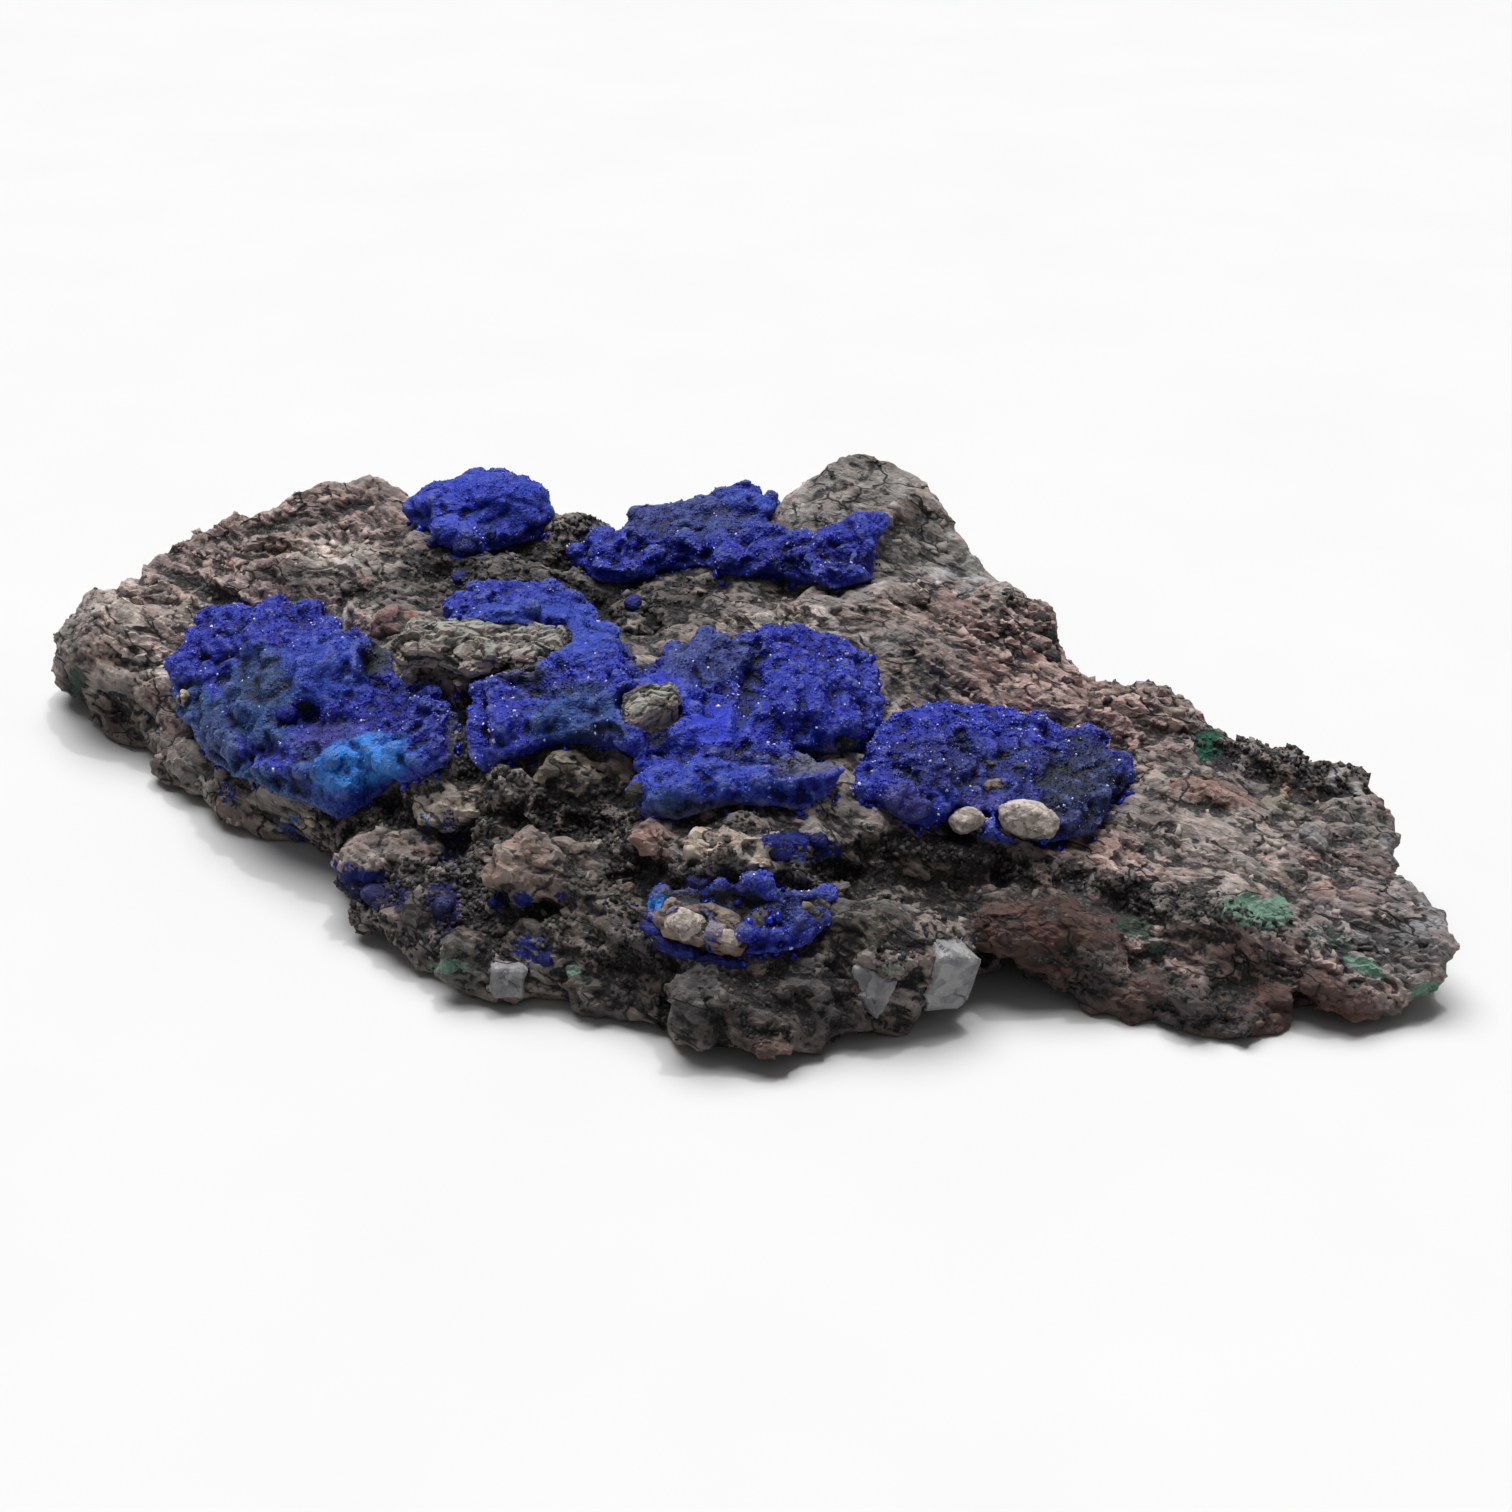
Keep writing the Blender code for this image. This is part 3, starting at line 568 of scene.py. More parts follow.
ROCK_PATCHES: tuple[Patch, ...] = (
    # The left end and its flank.
    Patch(135, 640, 90, 75, Rock.BEIGE),
    Patch(180, 760, 130, 60, Rock.MOTTLED, 25),
    Patch(75, 640, 22, 60, Rock.MOTTLED),
    Patch(170, 765, 150, 22, Rock.UMBER, 30, amount=0.6),
    Patch(75, 690, 14, 30, Rock.UMBER, 0, amount=0.6),
    # The back, from left to right.
    Patch(275, 540, 155, 72, Rock.PINKISH, -8),
    Patch(350, 558, 62, 16, Rock.CREAM, 8),
    Patch(330, 585, 80, 10, Rock.ASH, 10, amount=0.8),
    Patch(205, 590, 60, 10, Rock.ASH, 25, lift=-1.2, amount=0.8),
    Patch(300, 520, 90, 8, Rock.ASH, -14, amount=0.5, lift=-0.6),
    Patch(520, 575, 140, 55, Rock.ASH),
    Patch(600, 525, 60, 16, Rock.SOOTY),
    Patch(670, 605, 90, 40, Rock.ASH),
    Patch(890, 530, 130, 80, Rock.CLASTS, 35),
    Patch(860, 458, 90, 10, Rock.ASH, amount=0.8),
    Patch(960, 585, 30, 22, Rock.PALE, 20),
    Patch(1055, 632, 26, 30, Rock.SOOTY),
    Patch(790, 625, 110, 36, Rock.MOTTLED, -5),
    Patch(770, 622, 60, 14, Rock.CREAM, -8),
    # The right: layered rose rock, then the lobe.
    Patch(1030, 690, 165, 78, Rock.ROSE, 25),
    Patch(900, 660, 70, 40, Rock.MOTTLED, 20),
    Patch(1130, 820, 90, 60, Rock.ROSE, 40),
    Patch(1250, 830, 150, 60, Rock.MOTTLED, 18),
    Patch(1230, 850, 80, 36, Rock.BEIGE, 15, amount=0.5),
    Patch(1300, 765, 115, 22, Rock.SOOTY, 12),
    Patch(1385, 905, 80, 70, Rock.SLATE, 45),
    Patch(1350, 880, 60, 40, Rock.PINKISH, 30, amount=0.6),
    Patch(1150, 905, 170, 26, Rock.SOOTY, 14),
    Patch(1200, 960, 170, 34, Rock.ROSE, 8, amount=0.7),
    Patch(1055, 925, 75, 34, Rock.RUST, 4),
    Patch(1060, 975, 70, 34, Rock.UMBER),
    Patch(1210, 1010, 160, 34, Rock.UMBER, 4),
    # The front.
    Patch(560, 880, 380, 120, Rock.SOOTY, 14),
    Patch(760, 1000, 130, 60, Rock.UMBER, 5),
    Patch(240, 800, 90, 34, Rock.MOTTLED, 32),
    # the PIT patches paint near-black into cracks, pits and under the crusts' edges, partly as painted shade
    Patch(930, 850, 80, 14, Rock.PIT, 4),
    Patch(470, 735, 14, 50, Rock.PIT, 4),
    Patch(540, 985, 60, 22, Rock.MOTTLED, 8),
    Patch(486, 958, 5, 30, Rock.PIT, 0, lift=-1.6),
    Patch(662, 1015, 5, 36, Rock.PIT, 8, lift=-1.4),
    Patch(720, 1015, 6, 40, Rock.PIT, -6, lift=-1.6),
    Patch(985, 958, 10, 14, Rock.PIT, 10, lift=-1.6),
    Patch(1000, 870, 10, 20, Rock.PIT, 0, lift=-1.2),
    Patch(835, 870, 30, 12, Rock.PIT, 6, lift=-1.4),
    Patch(425, 760, 20, 14, Rock.PIT, 0, lift=-1.0),
)

STAIN_PATCHES: tuple[Patch, ...] = (
    Patch(1258, 910, 36, 17, Stain.MALACHITE, 8, amount=0.9),
    Patch(1208, 745, 15, 17, Stain.EMERALD, amount=0.65),
    Patch(1362, 965, 24, 8, Stain.MALACHITE, 25, amount=0.8),
    Patch(1430, 995, 20, 14, Stain.MALACHITE),
    Patch(1155, 947, 11, 7, Stain.MALACHITE, amount=0.6),
    Patch(448, 966, 22, 9, Stain.MALACHITE, amount=0.6),
    Patch(573, 970, 8, 6, Stain.MALACHITE),
    Patch(738, 1010, 9, 6, Stain.MALACHITE, amount=0.5),
    Patch(895, 968, 11, 6, Stain.MALACHITE, amount=0.5),
    Patch(375, 889, 40, 19, Stain.INDIGO, 18, amount=0.8),
    Patch(444, 905, 18, 28, Stain.INDIGO, -10, amount=0.8),
    Patch(499, 902, 7, 14, Stain.AZURE, amount=0.65),
    Patch(522, 898, 12, 9, Stain.AZURE, amount=0.6),
    Patch(530, 946, 24, 16, Stain.AZURE, 30, amount=0.52),
    Patch(560, 896, 9, 7, Stain.AZURE, amount=0.55),
    Patch(800, 846, 42, 15, Stain.AZURE, 6, amount=0.7),
    Patch(700, 880, 16, 10, Stain.INDIGO),
    Patch(458, 548, 14, 12, Stain.AZURE),
    Patch(300, 842, 14, 8, Stain.AZURE, 20, amount=0.5),
    Patch(450, 838, 10, 40, Stain.AZURE, -4, amount=0.45),
    Patch(425, 830, 8, 24, Stain.SKY, 8, amount=0.4),
    Patch(288, 824, 12, 10, Stain.SKY, amount=0.5),
    Patch(228, 792, 12, 14, Stain.AZURE, amount=0.5),
    Patch(78, 680, 10, 16, Stain.MOSS, amount=0.7),
    Patch(1135, 928, 22, 14, Stain.MOSS, 20, amount=0.6),
    Patch(1330, 940, 30, 14, Stain.MOSS, 25, amount=0.5),
    Patch(350, 870, 30, 8, Stain.AZURE, 14, amount=0.5),
)

# Blue.CHAR patches paint near-black into the crusts' notches, cracks and pocket, partly as painted shade.
CRUST_PATCHES: tuple[Patch, ...] = (
    # The left crust.
    Patch(262, 697, 40, 46, Blue.TEAL, -10, amount=0.9),
    Patch(262, 680, 26, 24, Blue.INK, 0, lift=-1.0, amount=0.45),
    Patch(330, 668, 40, 32, Blue.COBALT, lift=0.8),
    Patch(380, 655, 18, 24, Blue.CHAR, 20, lift=-3.2, amount=0.9),
    Patch(303, 708, 10, 8, Blue.INK, lift=-1.4),
    Patch(415, 715, 45, 50, Blue.DEEP),
    Patch(335, 742, 36, 22, Blue.VIOLET),
    Patch(205, 725, 22, 50, Blue.TEAL, -28),
    Patch(218, 745, 20, 40, Blue.SMOKE, -30, amount=0.7),
    Patch(270, 785, 45, 14, Blue.TEAL, 25),
    Patch(352, 775, 66, 34, Blue.COBALT, -8, lift=0.4),
    Patch(360, 762, 54, 26, Blue.SKY, -12, lift=0.6),
    Patch(310, 800, 40, 12, Blue.TEAL, 10, amount=0.7),
    Patch(455, 735, 8, 45, Blue.CHAR, 4, lift=-1.6, amount=0.9),
    Patch(358, 800, 30, 10, Blue.COBALT, 0, amount=0.8),
    Patch(303, 770, 12, 30, Blue.INK, 20, lift=-1.0, amount=0.5),
    # The centre crust.
    Patch(474, 735, 9, 48, Blue.CHAR, 6, lift=-2.2, amount=0.9),
    Patch(655, 735, 10, 16, Blue.INK, 0, lift=-1.0, amount=0.7),
    Patch(742, 755, 40, 7, Blue.INK, 8, lift=-1.0, amount=0.6),
    Patch(560, 690, 50, 6, Blue.INK, -6, lift=-0.8, amount=0.6),
    Patch(642, 646, 18, 26, Blue.CHAR, 0, lift=-4.0, amount=0.9),
    Patch(520, 672, 30, 12, Blue.CHAR, 6, lift=-2.0, amount=0.9),
    Patch(548, 628, 80, 34, Blue.COBALT),
    Patch(490, 722, 30, 44, Blue.ULTRAMARINE),
    Patch(575, 715, 50, 26, Blue.TEAL, -12, lift=-0.4, amount=0.75),
    Patch(600, 735, 30, 12, Blue.INK, -12, amount=0.6),
    Patch(668, 692, 32, 18, Blue.BRIGHT, 10, lift=0.5),
    Patch(715, 725, 32, 18, Blue.BRIGHT, lift=0.5),
    Patch(705, 655, 45, 30, Blue.SMOKE, amount=0.8),
    Patch(748, 690, 10, 40, Blue.INK, 15, lift=-1.2, amount=0.5),
    Patch(820, 705, 62, 50, Blue.ULTRAMARINE, lift=0.4),
    Patch(846, 744, 12, 9, Blue.CHAR, lift=-0.6, hard=0.8),
    Patch(812, 762, 44, 12, Blue.OLIVE, -12, lift=-1.0, amount=0.8),
    Patch(715, 782, 80, 24, Blue.COBALT, 0, lift=0.4, amount=0.6),
    Patch(740, 814, 112, 13, Blue.OLIVE, 3, amount=0.65),
    Patch(660, 800, 30, 12, Blue.TEAL, 10, amount=0.7),
    # The right crust.
    Patch(930, 760, 60, 26, Blue.DEEP),
    Patch(1000, 772, 110, 30, Blue.INK, 5, amount=0.5),
    Patch(905, 803, 28, 20, Blue.VIOLET, 10, lift=0.7),
    Patch(985, 800, 24, 8, Blue.VIOLET),
    Patch(1085, 785, 46, 54, Blue.INK, 0, amount=0.8),
    Patch(960, 740, 14, 10, Blue.INK, amount=0.6, lift=-0.5),
    # The back cap and ridge.
    Patch(480, 500, 80, 34, Blue.SATIN, lift=0.5),
    Patch(480, 492, 50, 12, Blue.BRIGHT, amount=0.4),
    Patch(680, 510, 90, 26, Blue.SMOKE, 0, amount=0.75),
    Patch(770, 505, 50, 14, Blue.COBALT, 10),
    Patch(600, 560, 30, 24, Blue.ULTRAMARINE),
    Patch(810, 560, 60, 18, Blue.DEEP, 0),
    # The front pocket.
    Patch(722, 905, 62, 20, Blue.CHAR, 10, lift=-1.6, amount=0.95),
    Patch(690, 922, 44, 12, Blue.TAN, 18, amount=0.9, hard=0.8),
    Patch(800, 905, 30, 24, Blue.SMOKE, 0, amount=0.7),
    Patch(655, 903, 14, 7, Blue.SKY),
    Patch(700, 880, 16, 10, Blue.VIOLET),
)


def blended(sight: Sight, patches: Iterable[Patch], ground: Enum) -> Array:
    """The numbers of the looks at every point of a surface.

    Args:
        sight: how it is seen.
        patches: the patches, the later over the earlier.
        ground: the look where no patch lies.

    Returns:
        An array with a row of numbers for each point.
    """
    values = rows_of(ground.value.numbers(), len(sight.u))
    for patch in patches:
        share = (sight.share(patch) * patch.amount)[:, None]
        values = values * (1.0 - share) + np.array(patch.look.value.numbers()) * share
    return values


# ---- Finishes ----------------------------------------------------------------------------------


TONE_SCALE = 0.80  # brings a colour as it is seen to a paint's under the studio's light
NOISE_RANGE = (0.22, 0.78)  # what the noise node gives between its rare extremes
BEDDING = (0.42, 0.50, 0.75)  # the direction across the slab's beds


class Bench:
    """Lays out the nodes of one material on a piece's own coordinates, with sizes in millimetres."""

    def __init__(self, name: str) -> None:
        """Args: name, the material's name."""
        self.material = bpy.data.materials.new(name)
        self.material.use_nodes = True
        self.tree = self.material.node_tree
        self.shader = self.tree.nodes["Principled BSDF"]
        self.place = self.node("TexCoord", {}, "Object")

    def plug(self, value: Value, socket: Socket) -> None:
        """Sets a socket to a value, or links it to another node's socket."""
        if isinstance(value, Socket):
            self.tree.links.new(value, socket)
        elif isinstance(value, tuple) and len(value) == 3 and socket.type == "RGBA":
            socket.default_value = (*value, 1.0)
        else:
            socket.default_value = value

    def node(
        self, kind: str, inputs: dict[int | str, Value], output: int | str = 0, **settings: object
    ) -> Socket:
        """A new node.

        Args:
            kind: the last part of its type's name.
            inputs: what goes into its inputs.
            output: the output that is wanted.
            settings: its own settings by name.

        Returns:
            The output's socket.
        """
        node = self.tree.nodes.new("ShaderNode" + kind)
        for name, value in settings.items():
            setattr(node, name, value)
        for name, value in inputs.items():
            self.plug(value, node.inputs[name])
        return node.outputs[output]

    def attribute(self, name: str, output: str = "Fac") -> Socket:
        """The value kept on the surface's points under a name."""
        return self.node("Attribute", {}, output, attribute_name=name)

    def noise(self, size: float, detail: float = 4.0, rough: float = 0.6, at: Value = None) -> Socket:
        """Uneven noise from about 0 to 1, with clouds of that size."""
        scale = 1.0 / (size * MM)
        inputs = {"Vector": at or self.place, "Scale": scale, "Detail": detail, "Roughness": rough}
        return self.level(self.node("TexNoise", inputs, "Fac"), 0.0, 1.0, *NOISE_RANGE)

    def cells(self, size: float, output: str = "Distance", feature: str = "F1", at: Value = None) -> Socket:
        """A pattern of cells of that size."""
        inputs = {"Vector": at or self.place, "Scale": 1.0 / (size * MM)}
        return self.node("TexVoronoi", inputs, output, feature=feature)

    def random_of(self, size: float, at: Value = None) -> Socket:
        """A random number from 0 to 1 for each cell of that size."""
        return self.node("SeparateColor", {0: self.cells(size, "Color", at=at)})

    def spread(self, value: Value, low: Value, high: Value, to: tuple[float, float] = (0.0, 1.0),
               way: str = "SMOOTHSTEP") -> Socket:
        """A value from low to high, brought to another range and held inside it."""
        inputs = {"Value": value, "From Min": low, "From Max": high, "To Min": to[0], "To Max": to[1]}
        return self.node("MapRange", inputs, "Result", interpolation_type=way, clamp=True)

    def level(self, value: Value, first: float, last: float, low: float = 0.0, high: float = 1.0) -> Socket:
        """A value from low to high, brought evenly to the range from first to last."""
        return self.spread(value, low, high, (first, last), "LINEAR")

    def math(self, operation: str, first: Value, second: Value) -> Socket:
        """A sum, product or other function of two numbers."""
        return self.node("Math", {0: first, 1: second}, operation=operation)

    def times(self, first: Value, second: Value) -> Socket:
        """The product of two numbers."""
        return self.math("MULTIPLY", first, second)

    def total(self, *parts: tuple[Value, float]) -> Socket:
        """The sum of some numbers, each times its weight."""
        terms = [value if weight == 1.0 else self.times(value, weight) for value, weight in parts]
        return reduce(lambda first, second: self.math("ADD", first, second), terms)

    def cover(self, uneven: Value, bare: Value, edge: float) -> Socket:
        """Where a patchy cover lies: 1 where the unevenness is above the bare share, with a soft edge."""
        return self.spread(uneven, self.math("SUBTRACT", bare, edge), self.math("ADD", bare, edge))

    def bare(self, soot: Value, hollow: Value, weight: float) -> Socket:
        """The share that the black coat leaves bare; it is smaller in the hollows."""
        return self.math("SUBTRACT", 1.0, self.total((soot, 1.0), (hollow, weight)))

    def mix(self, share: Value, first: Value, second: Value, blend: str = "MIX") -> Socket:
        """Two colours mixed."""
        inputs = {"Factor": share, "A": first, "B": second}
        return self.node("Mix", inputs, "Result", data_type="RGBA", blend_type=blend, clamp_factor=True)

    def tinted(self, colour: Value, tint: Rgb) -> Socket:
        """A colour times another one."""
        return self.mix(1.0, colour, tint, "MULTIPLY")

    def brighten(self, colour: Value, amount: Value) -> Socket:
        """A colour times a number."""
        return self.node("VectorMath", {0: colour, "Scale": amount}, operation="SCALE")

    def shade(self, colour: Value, value: Value, dark: float, bright: float, low: float = 0.0,
              high: float = 1.0) -> Socket:
        """A colour that goes from dark to bright, as a value goes from low to high."""
        return self.brighten(colour, self.level(value, dark, bright, low, high))

    def bedded(self, normal: Sequence[float], along: float) -> Socket:
        """The piece's own coordinates, turned so that the beds lie level and then pressed along them."""
        level = Vector(normal).rotation_difference(UP).to_euler()
        turned = self.node("Mapping", {"Vector": self.place, "Rotation": level})
        return self.node("Mapping", {"Vector": turned, "Scale": (along, along, 1.0)})

    def warped(self, at: Value, size: float, amount: float) -> Socket:
        """Coordinates bent by noise of that size, by up to that many millimetres."""
        bend = self.node("TexNoise", {"Vector": at, "Scale": 1.0 / (size * MM)}, "Color")
        return self.node("VectorMath", {0: bend, 1: (amount * MM,) * 3, 2: at}, operation="MULTIPLY_ADD")

    def finish(self, colour: Value, rough: Value, specular: float, height: Value = None,
               depth: float = 0.0) -> bpy.types.Material:
        """Plugs the finished looks into the shader.

        Args:
            colour: the colour, as it is seen.
            rough: the roughness.
            specular: the strength of its gloss.
            height: the fine relief, where there is any.
            depth: the depth of that relief.

        Returns:
            The material.
        """
        self.plug(self.brighten(colour, TONE_SCALE), self.shader.inputs["Base Color"])
        self.plug(rough, self.shader.inputs["Roughness"])
        self.plug(specular, self.shader.inputs["Specular IOR Level"])
        if height is not None:
            bump = self.node("Bump", {"Distance": depth * MM, "Height": height})
            self.plug(bump, self.shader.inputs["Normal"])
        return self.material


@dataclass(frozen=True)
class RockFinish:
    """Arkose: feldspar and quartz clasts under a patchy black coat, with copper stains."""

    coat: Rgb = (0.0120, 0.0112, 0.0120)  # where it is thick
    film: Rgb = (0.052, 0.047, 0.047)  # where it is thin
    fleck: Rgb = (0.150, 0.145, 0.145)
    seam: Rgb = (0.016, 0.014, 0.015)
    warm: Rgb = (1.02, 0.78, 0.73)  # tint of the reddish feldspar
    cold: Rgb = (0.88, 0.95, 0.98)  # tint of the grey quartz

    def material(self) -> bpy.types.Material:
        """The finish as a material."""
        b = Bench("arkose")
        soot, hollow, streak = b.attribute("soot"), b.attribute("hollow"), b.attribute("streak")
        fine = b.noise(0.30, 3)
        bands = b.noise(0.75, 5, 0.62, at=b.warped(b.bedded(BEDDING, 0.14), 1.6, 0.8))
        tone = self.clean(b, bands, hollow, streak)

        uneven = b.total((b.noise(1.7, 7, 0.70), 0.7), (b.noise(0.36, 4, 0.6), 0.3))
        uneven = b.total((uneven, 1.0), (b.times(b.math("SUBTRACT", bands, 0.5), b.times(streak, 0.8)), 1.0))
        coated = b.cover(uneven, b.bare(soot, hollow, 0.40), 0.13)
        grey = b.mix(b.spread(b.random_of(0.28), 0.62, 0.98), self.film, self.fleck)
        black = b.mix(b.spread(b.random_of(0.28), 0.70, 0.98), self.coat, self.film)
        colour = b.mix(b.times(coated, 0.95), tone, b.mix(b.spread(soot, 0.34, 0.72), grey, black))

        large, small = self.seams(b, 3.6, 0.036, 0.48), b.times(self.seams(b, 1.25, 0.05, 0.60), 0.5)
        seams = b.times(b.math("MAXIMUM", large, small), b.spread(streak, 0.1, 0.5, (0.25, 1.0)))
        colour = b.mix(b.times(seams, 0.9), colour, self.seam)

        speckle = b.total((b.noise(0.8, 6, 0.68), 0.8), (b.random_of(0.3), 0.2))
        shown = b.cover(speckle, b.math("SUBTRACT", 1.0, b.attribute("stained")), 0.10)
        colour = b.mix(shown, colour, b.shade(b.attribute("stain", "Color"), fine, 0.55, 1.4))

        glint = b.spread(b.random_of(0.30), 0.955, 0.975)
        rough = b.math("SUBTRACT", b.level(fine, 0.62, 0.92), b.times(glint, 0.45))
        height = b.total((bands, 0.8), (b.noise(0.5, 6, 0.7), 0.8), (seams, -0.8))
        return b.finish(colour, rough, 0.2, height, 0.30)

    def clean(self, b: Bench, bands: Socket, hollow: Socket, streak: Socket) -> Socket:
        """The colour of the clean rock: mottled, streaked along its beds, warm and cold in patches, with
        painted shade in its hollows and painted light on its ridges.
        """
        tone = b.attribute("tone", "Color")
        tone = b.shade(tone, b.random_of(1.7, at=b.warped(b.place, 1.0, 0.8)), 0.76, 1.22)
        tone = b.shade(tone, b.noise(2.6, 3), 0.74, 1.24, 0.1, 0.9)
        tone = b.shade(tone, b.noise(6.5, 2), 0.78, 1.20, 0.2, 0.8)
        tone = b.shade(tone, b.noise(0.6, 5, 0.65), 0.76, 1.22)
        tone = b.mix(streak, tone, b.shade(tone, bands, 0.42, 1.50, 0.15, 0.85))
        # painted shade and light: the clean rock is darker in its hollows and lighter on its ridges
        tone = b.shade(tone, hollow, 1.22, 0.62, -1.0, 1.0)
        reddish = b.total((b.noise(1.9, 5, at=b.bedded(BEDDING, 0.35)), 0.55), (b.noise(6.0, 2), 0.45))
        tone = b.mix(b.times(b.spread(reddish, 0.46, 0.70), 0.6), tone, b.tinted(tone, self.warm))
        greyish = b.spread(b.noise(2.4, 4, at=b.bedded(BEDDING, 0.5)), 0.30, 0.70, (0.75, 0.0))
        return b.mix(greyish, tone, b.tinted(tone, self.cold))

    def seams(self, b: Bench, size: float, width: float, broken: float) -> Socket:
        """Thin dark cracks around flat cells of that size, broken off here and there."""
        crooked = b.warped(b.warped(b.bedded(BEDDING, 0.5), 3.0, 2.6), 0.7, 0.5)
        line = b.spread(b.cells(size, feature="DISTANCE_TO_EDGE", at=crooked), width * 0.4, width, (1.0, 0.0))
        return b.times(line, b.spread(b.noise(size * 1.3, 2), broken - 0.06, broken + 0.08))


@dataclass(frozen=True)
class CrustFinish:
    """Azurite druse under its crystals: rounded lumps, with a painted highlight on top and painted shade, a
    deep blue, between them.
    """

    painted_highlight: Rgb = (0.112, 0.142, 0.325)
    painted_highlight_share: float = 0.70
    # the tint of the painted shade between the lumps
    depth: Rgb = (0.30, 0.40, 0.70)
    black: Rgb = (0.014, 0.019, 0.026)

    def material(self) -> bpy.types.Material:
        """The finish as a material."""
        b = Bench("azurite_crust")
        hollow, facet = b.attribute("hollow"), b.random_of(0.34)
        tone = b.shade(b.attribute("tone", "Color"), facet, 0.78, 1.25)
        # painted shade: deep blue in the low places; painted highlight: pale blue on the raised ones
        deep, painted_highlight = b.tinted(tone, self.depth), b.mix(self.painted_highlight_share, tone, self.painted_highlight)
        raised = b.total((b.noise(1.1, 6, 0.7), 0.75), (hollow, -0.42), (facet, 0.25))
        tone = b.mix(b.spread(raised, 0.22, 0.62), deep, tone)
        tone = b.mix(b.spread(raised, 0.62, 1.12), tone, painted_highlight)
        # painted shade: darker still in the hollows
        tone = b.shade(tone, hollow, 1.04, 0.26, 0.1, 1.0)
        uneven = b.total((b.noise(1.3, 6, 0.7), 0.7), (b.random_of(0.4), 0.3))
        black = b.cover(uneven, b.bare(b.attribute("soot"), hollow, 0.18), 0.08)
        colour = b.mix(b.times(black, 0.9), tone, self.black)
        height = b.total((b.cells(0.34), -0.7), (b.noise(0.2, 3, 0.6), 0.5))
        return b.finish(colour, b.level(b.noise(0.26, 3), 0.35, 0.70), 0.25, height, 0.18)


@dataclass(frozen=True)
class GrainFinish:
    """Loose grains and crystals that carry their own colours."""

    name: str
    rough: float
    specular: float
    depth: float = 0.04

    def material(self) -> bpy.types.Material:
        """The finish as a material."""
        b = Bench(self.name)
        fine = b.noise(0.22, 3)
        tone = b.shade(b.attribute("tone", "Color"), fine, 0.72, 1.25)
        rough = b.level(fine, self.rough * 0.6, min(1.0, self.rough * 1.4))
        return b.finish(tone, rough, self.specular, fine, self.depth)


STONE_BEDS = (0.10, -0.70, 0.70)  # across the layers of the banded stones
STONE_BED = 0.62  # thickness of one of them


@dataclass(frozen=True)
class StoneFinish:
    """A stone of one kind, lighter on top, coated in its hollows, darker near its foot and with painted shade
    on its underside, dusted with azurite below.
    """

    name: str
    light: Rgb
    dark: Rgb
    grain: float
    rough: float
    band: float = 0.0  # strength of its bands
    band_size: float = 0.5
    cream: Rgb = srgb(176, 160, 150)  # colour of its feldspar blocks
    # the black of its coat, which also paints shade on its underside
    coat: Rgb = (0.014, 0.013, 0.013)
    dust: Rgb = srgb(36, 48, 128)

    def material(self) -> bpy.types.Material:
        """The finish as a material."""
        b = Bench(self.name)
        mottle = b.total((b.noise(self.grain, 5, 0.62), 0.6), (b.random_of(self.grain * 0.5), 0.4))
        if self.band:
            slabs = b.noise(self.band_size, 3, 0.5, at=b.bedded(STONE_BEDS, 0.10))
            mottle = b.total((mottle, 1.0 - self.band), (slabs, self.band))
        part = b.spread(mottle, 0.30 + self.band * 0.10, 0.72 - self.band * 0.10)
        colour = b.mix(part, self.dark, self.light)
        colour = b.mix(b.attribute("cream"), colour, b.shade(self.cream, mottle, 0.72, 1.15, 0.2, 0.8))
        # black where its coat lies, near its foot, and as painted shade on its underside
        coat = b.spread(b.total((b.noise(0.8, 5), 0.6), (b.attribute("hollow"), 1.0)), 0.62, 0.98)
        colour = b.mix(b.times(coat, 0.88), colour, self.coat)
        dust = b.spread(b.total((b.noise(0.6, 4), 1.0), (b.attribute("dust"), 1.0)), 0.95, 1.25)
        fine = b.noise(0.3, 3)
        rough = b.level(fine, self.rough * 0.7, min(1.0, self.rough * 1.3))
        height = b.total((fine, 1.0), (mottle, 0.5))
        return b.finish(b.mix(dust, colour, self.dust), rough, 0.45, height, 0.12)


# ---- Small crystals and grains -----------------------------------------------------------------


CHIP_SEED = 1  # without it the chips' corners would be moved by the clock, differently on each run


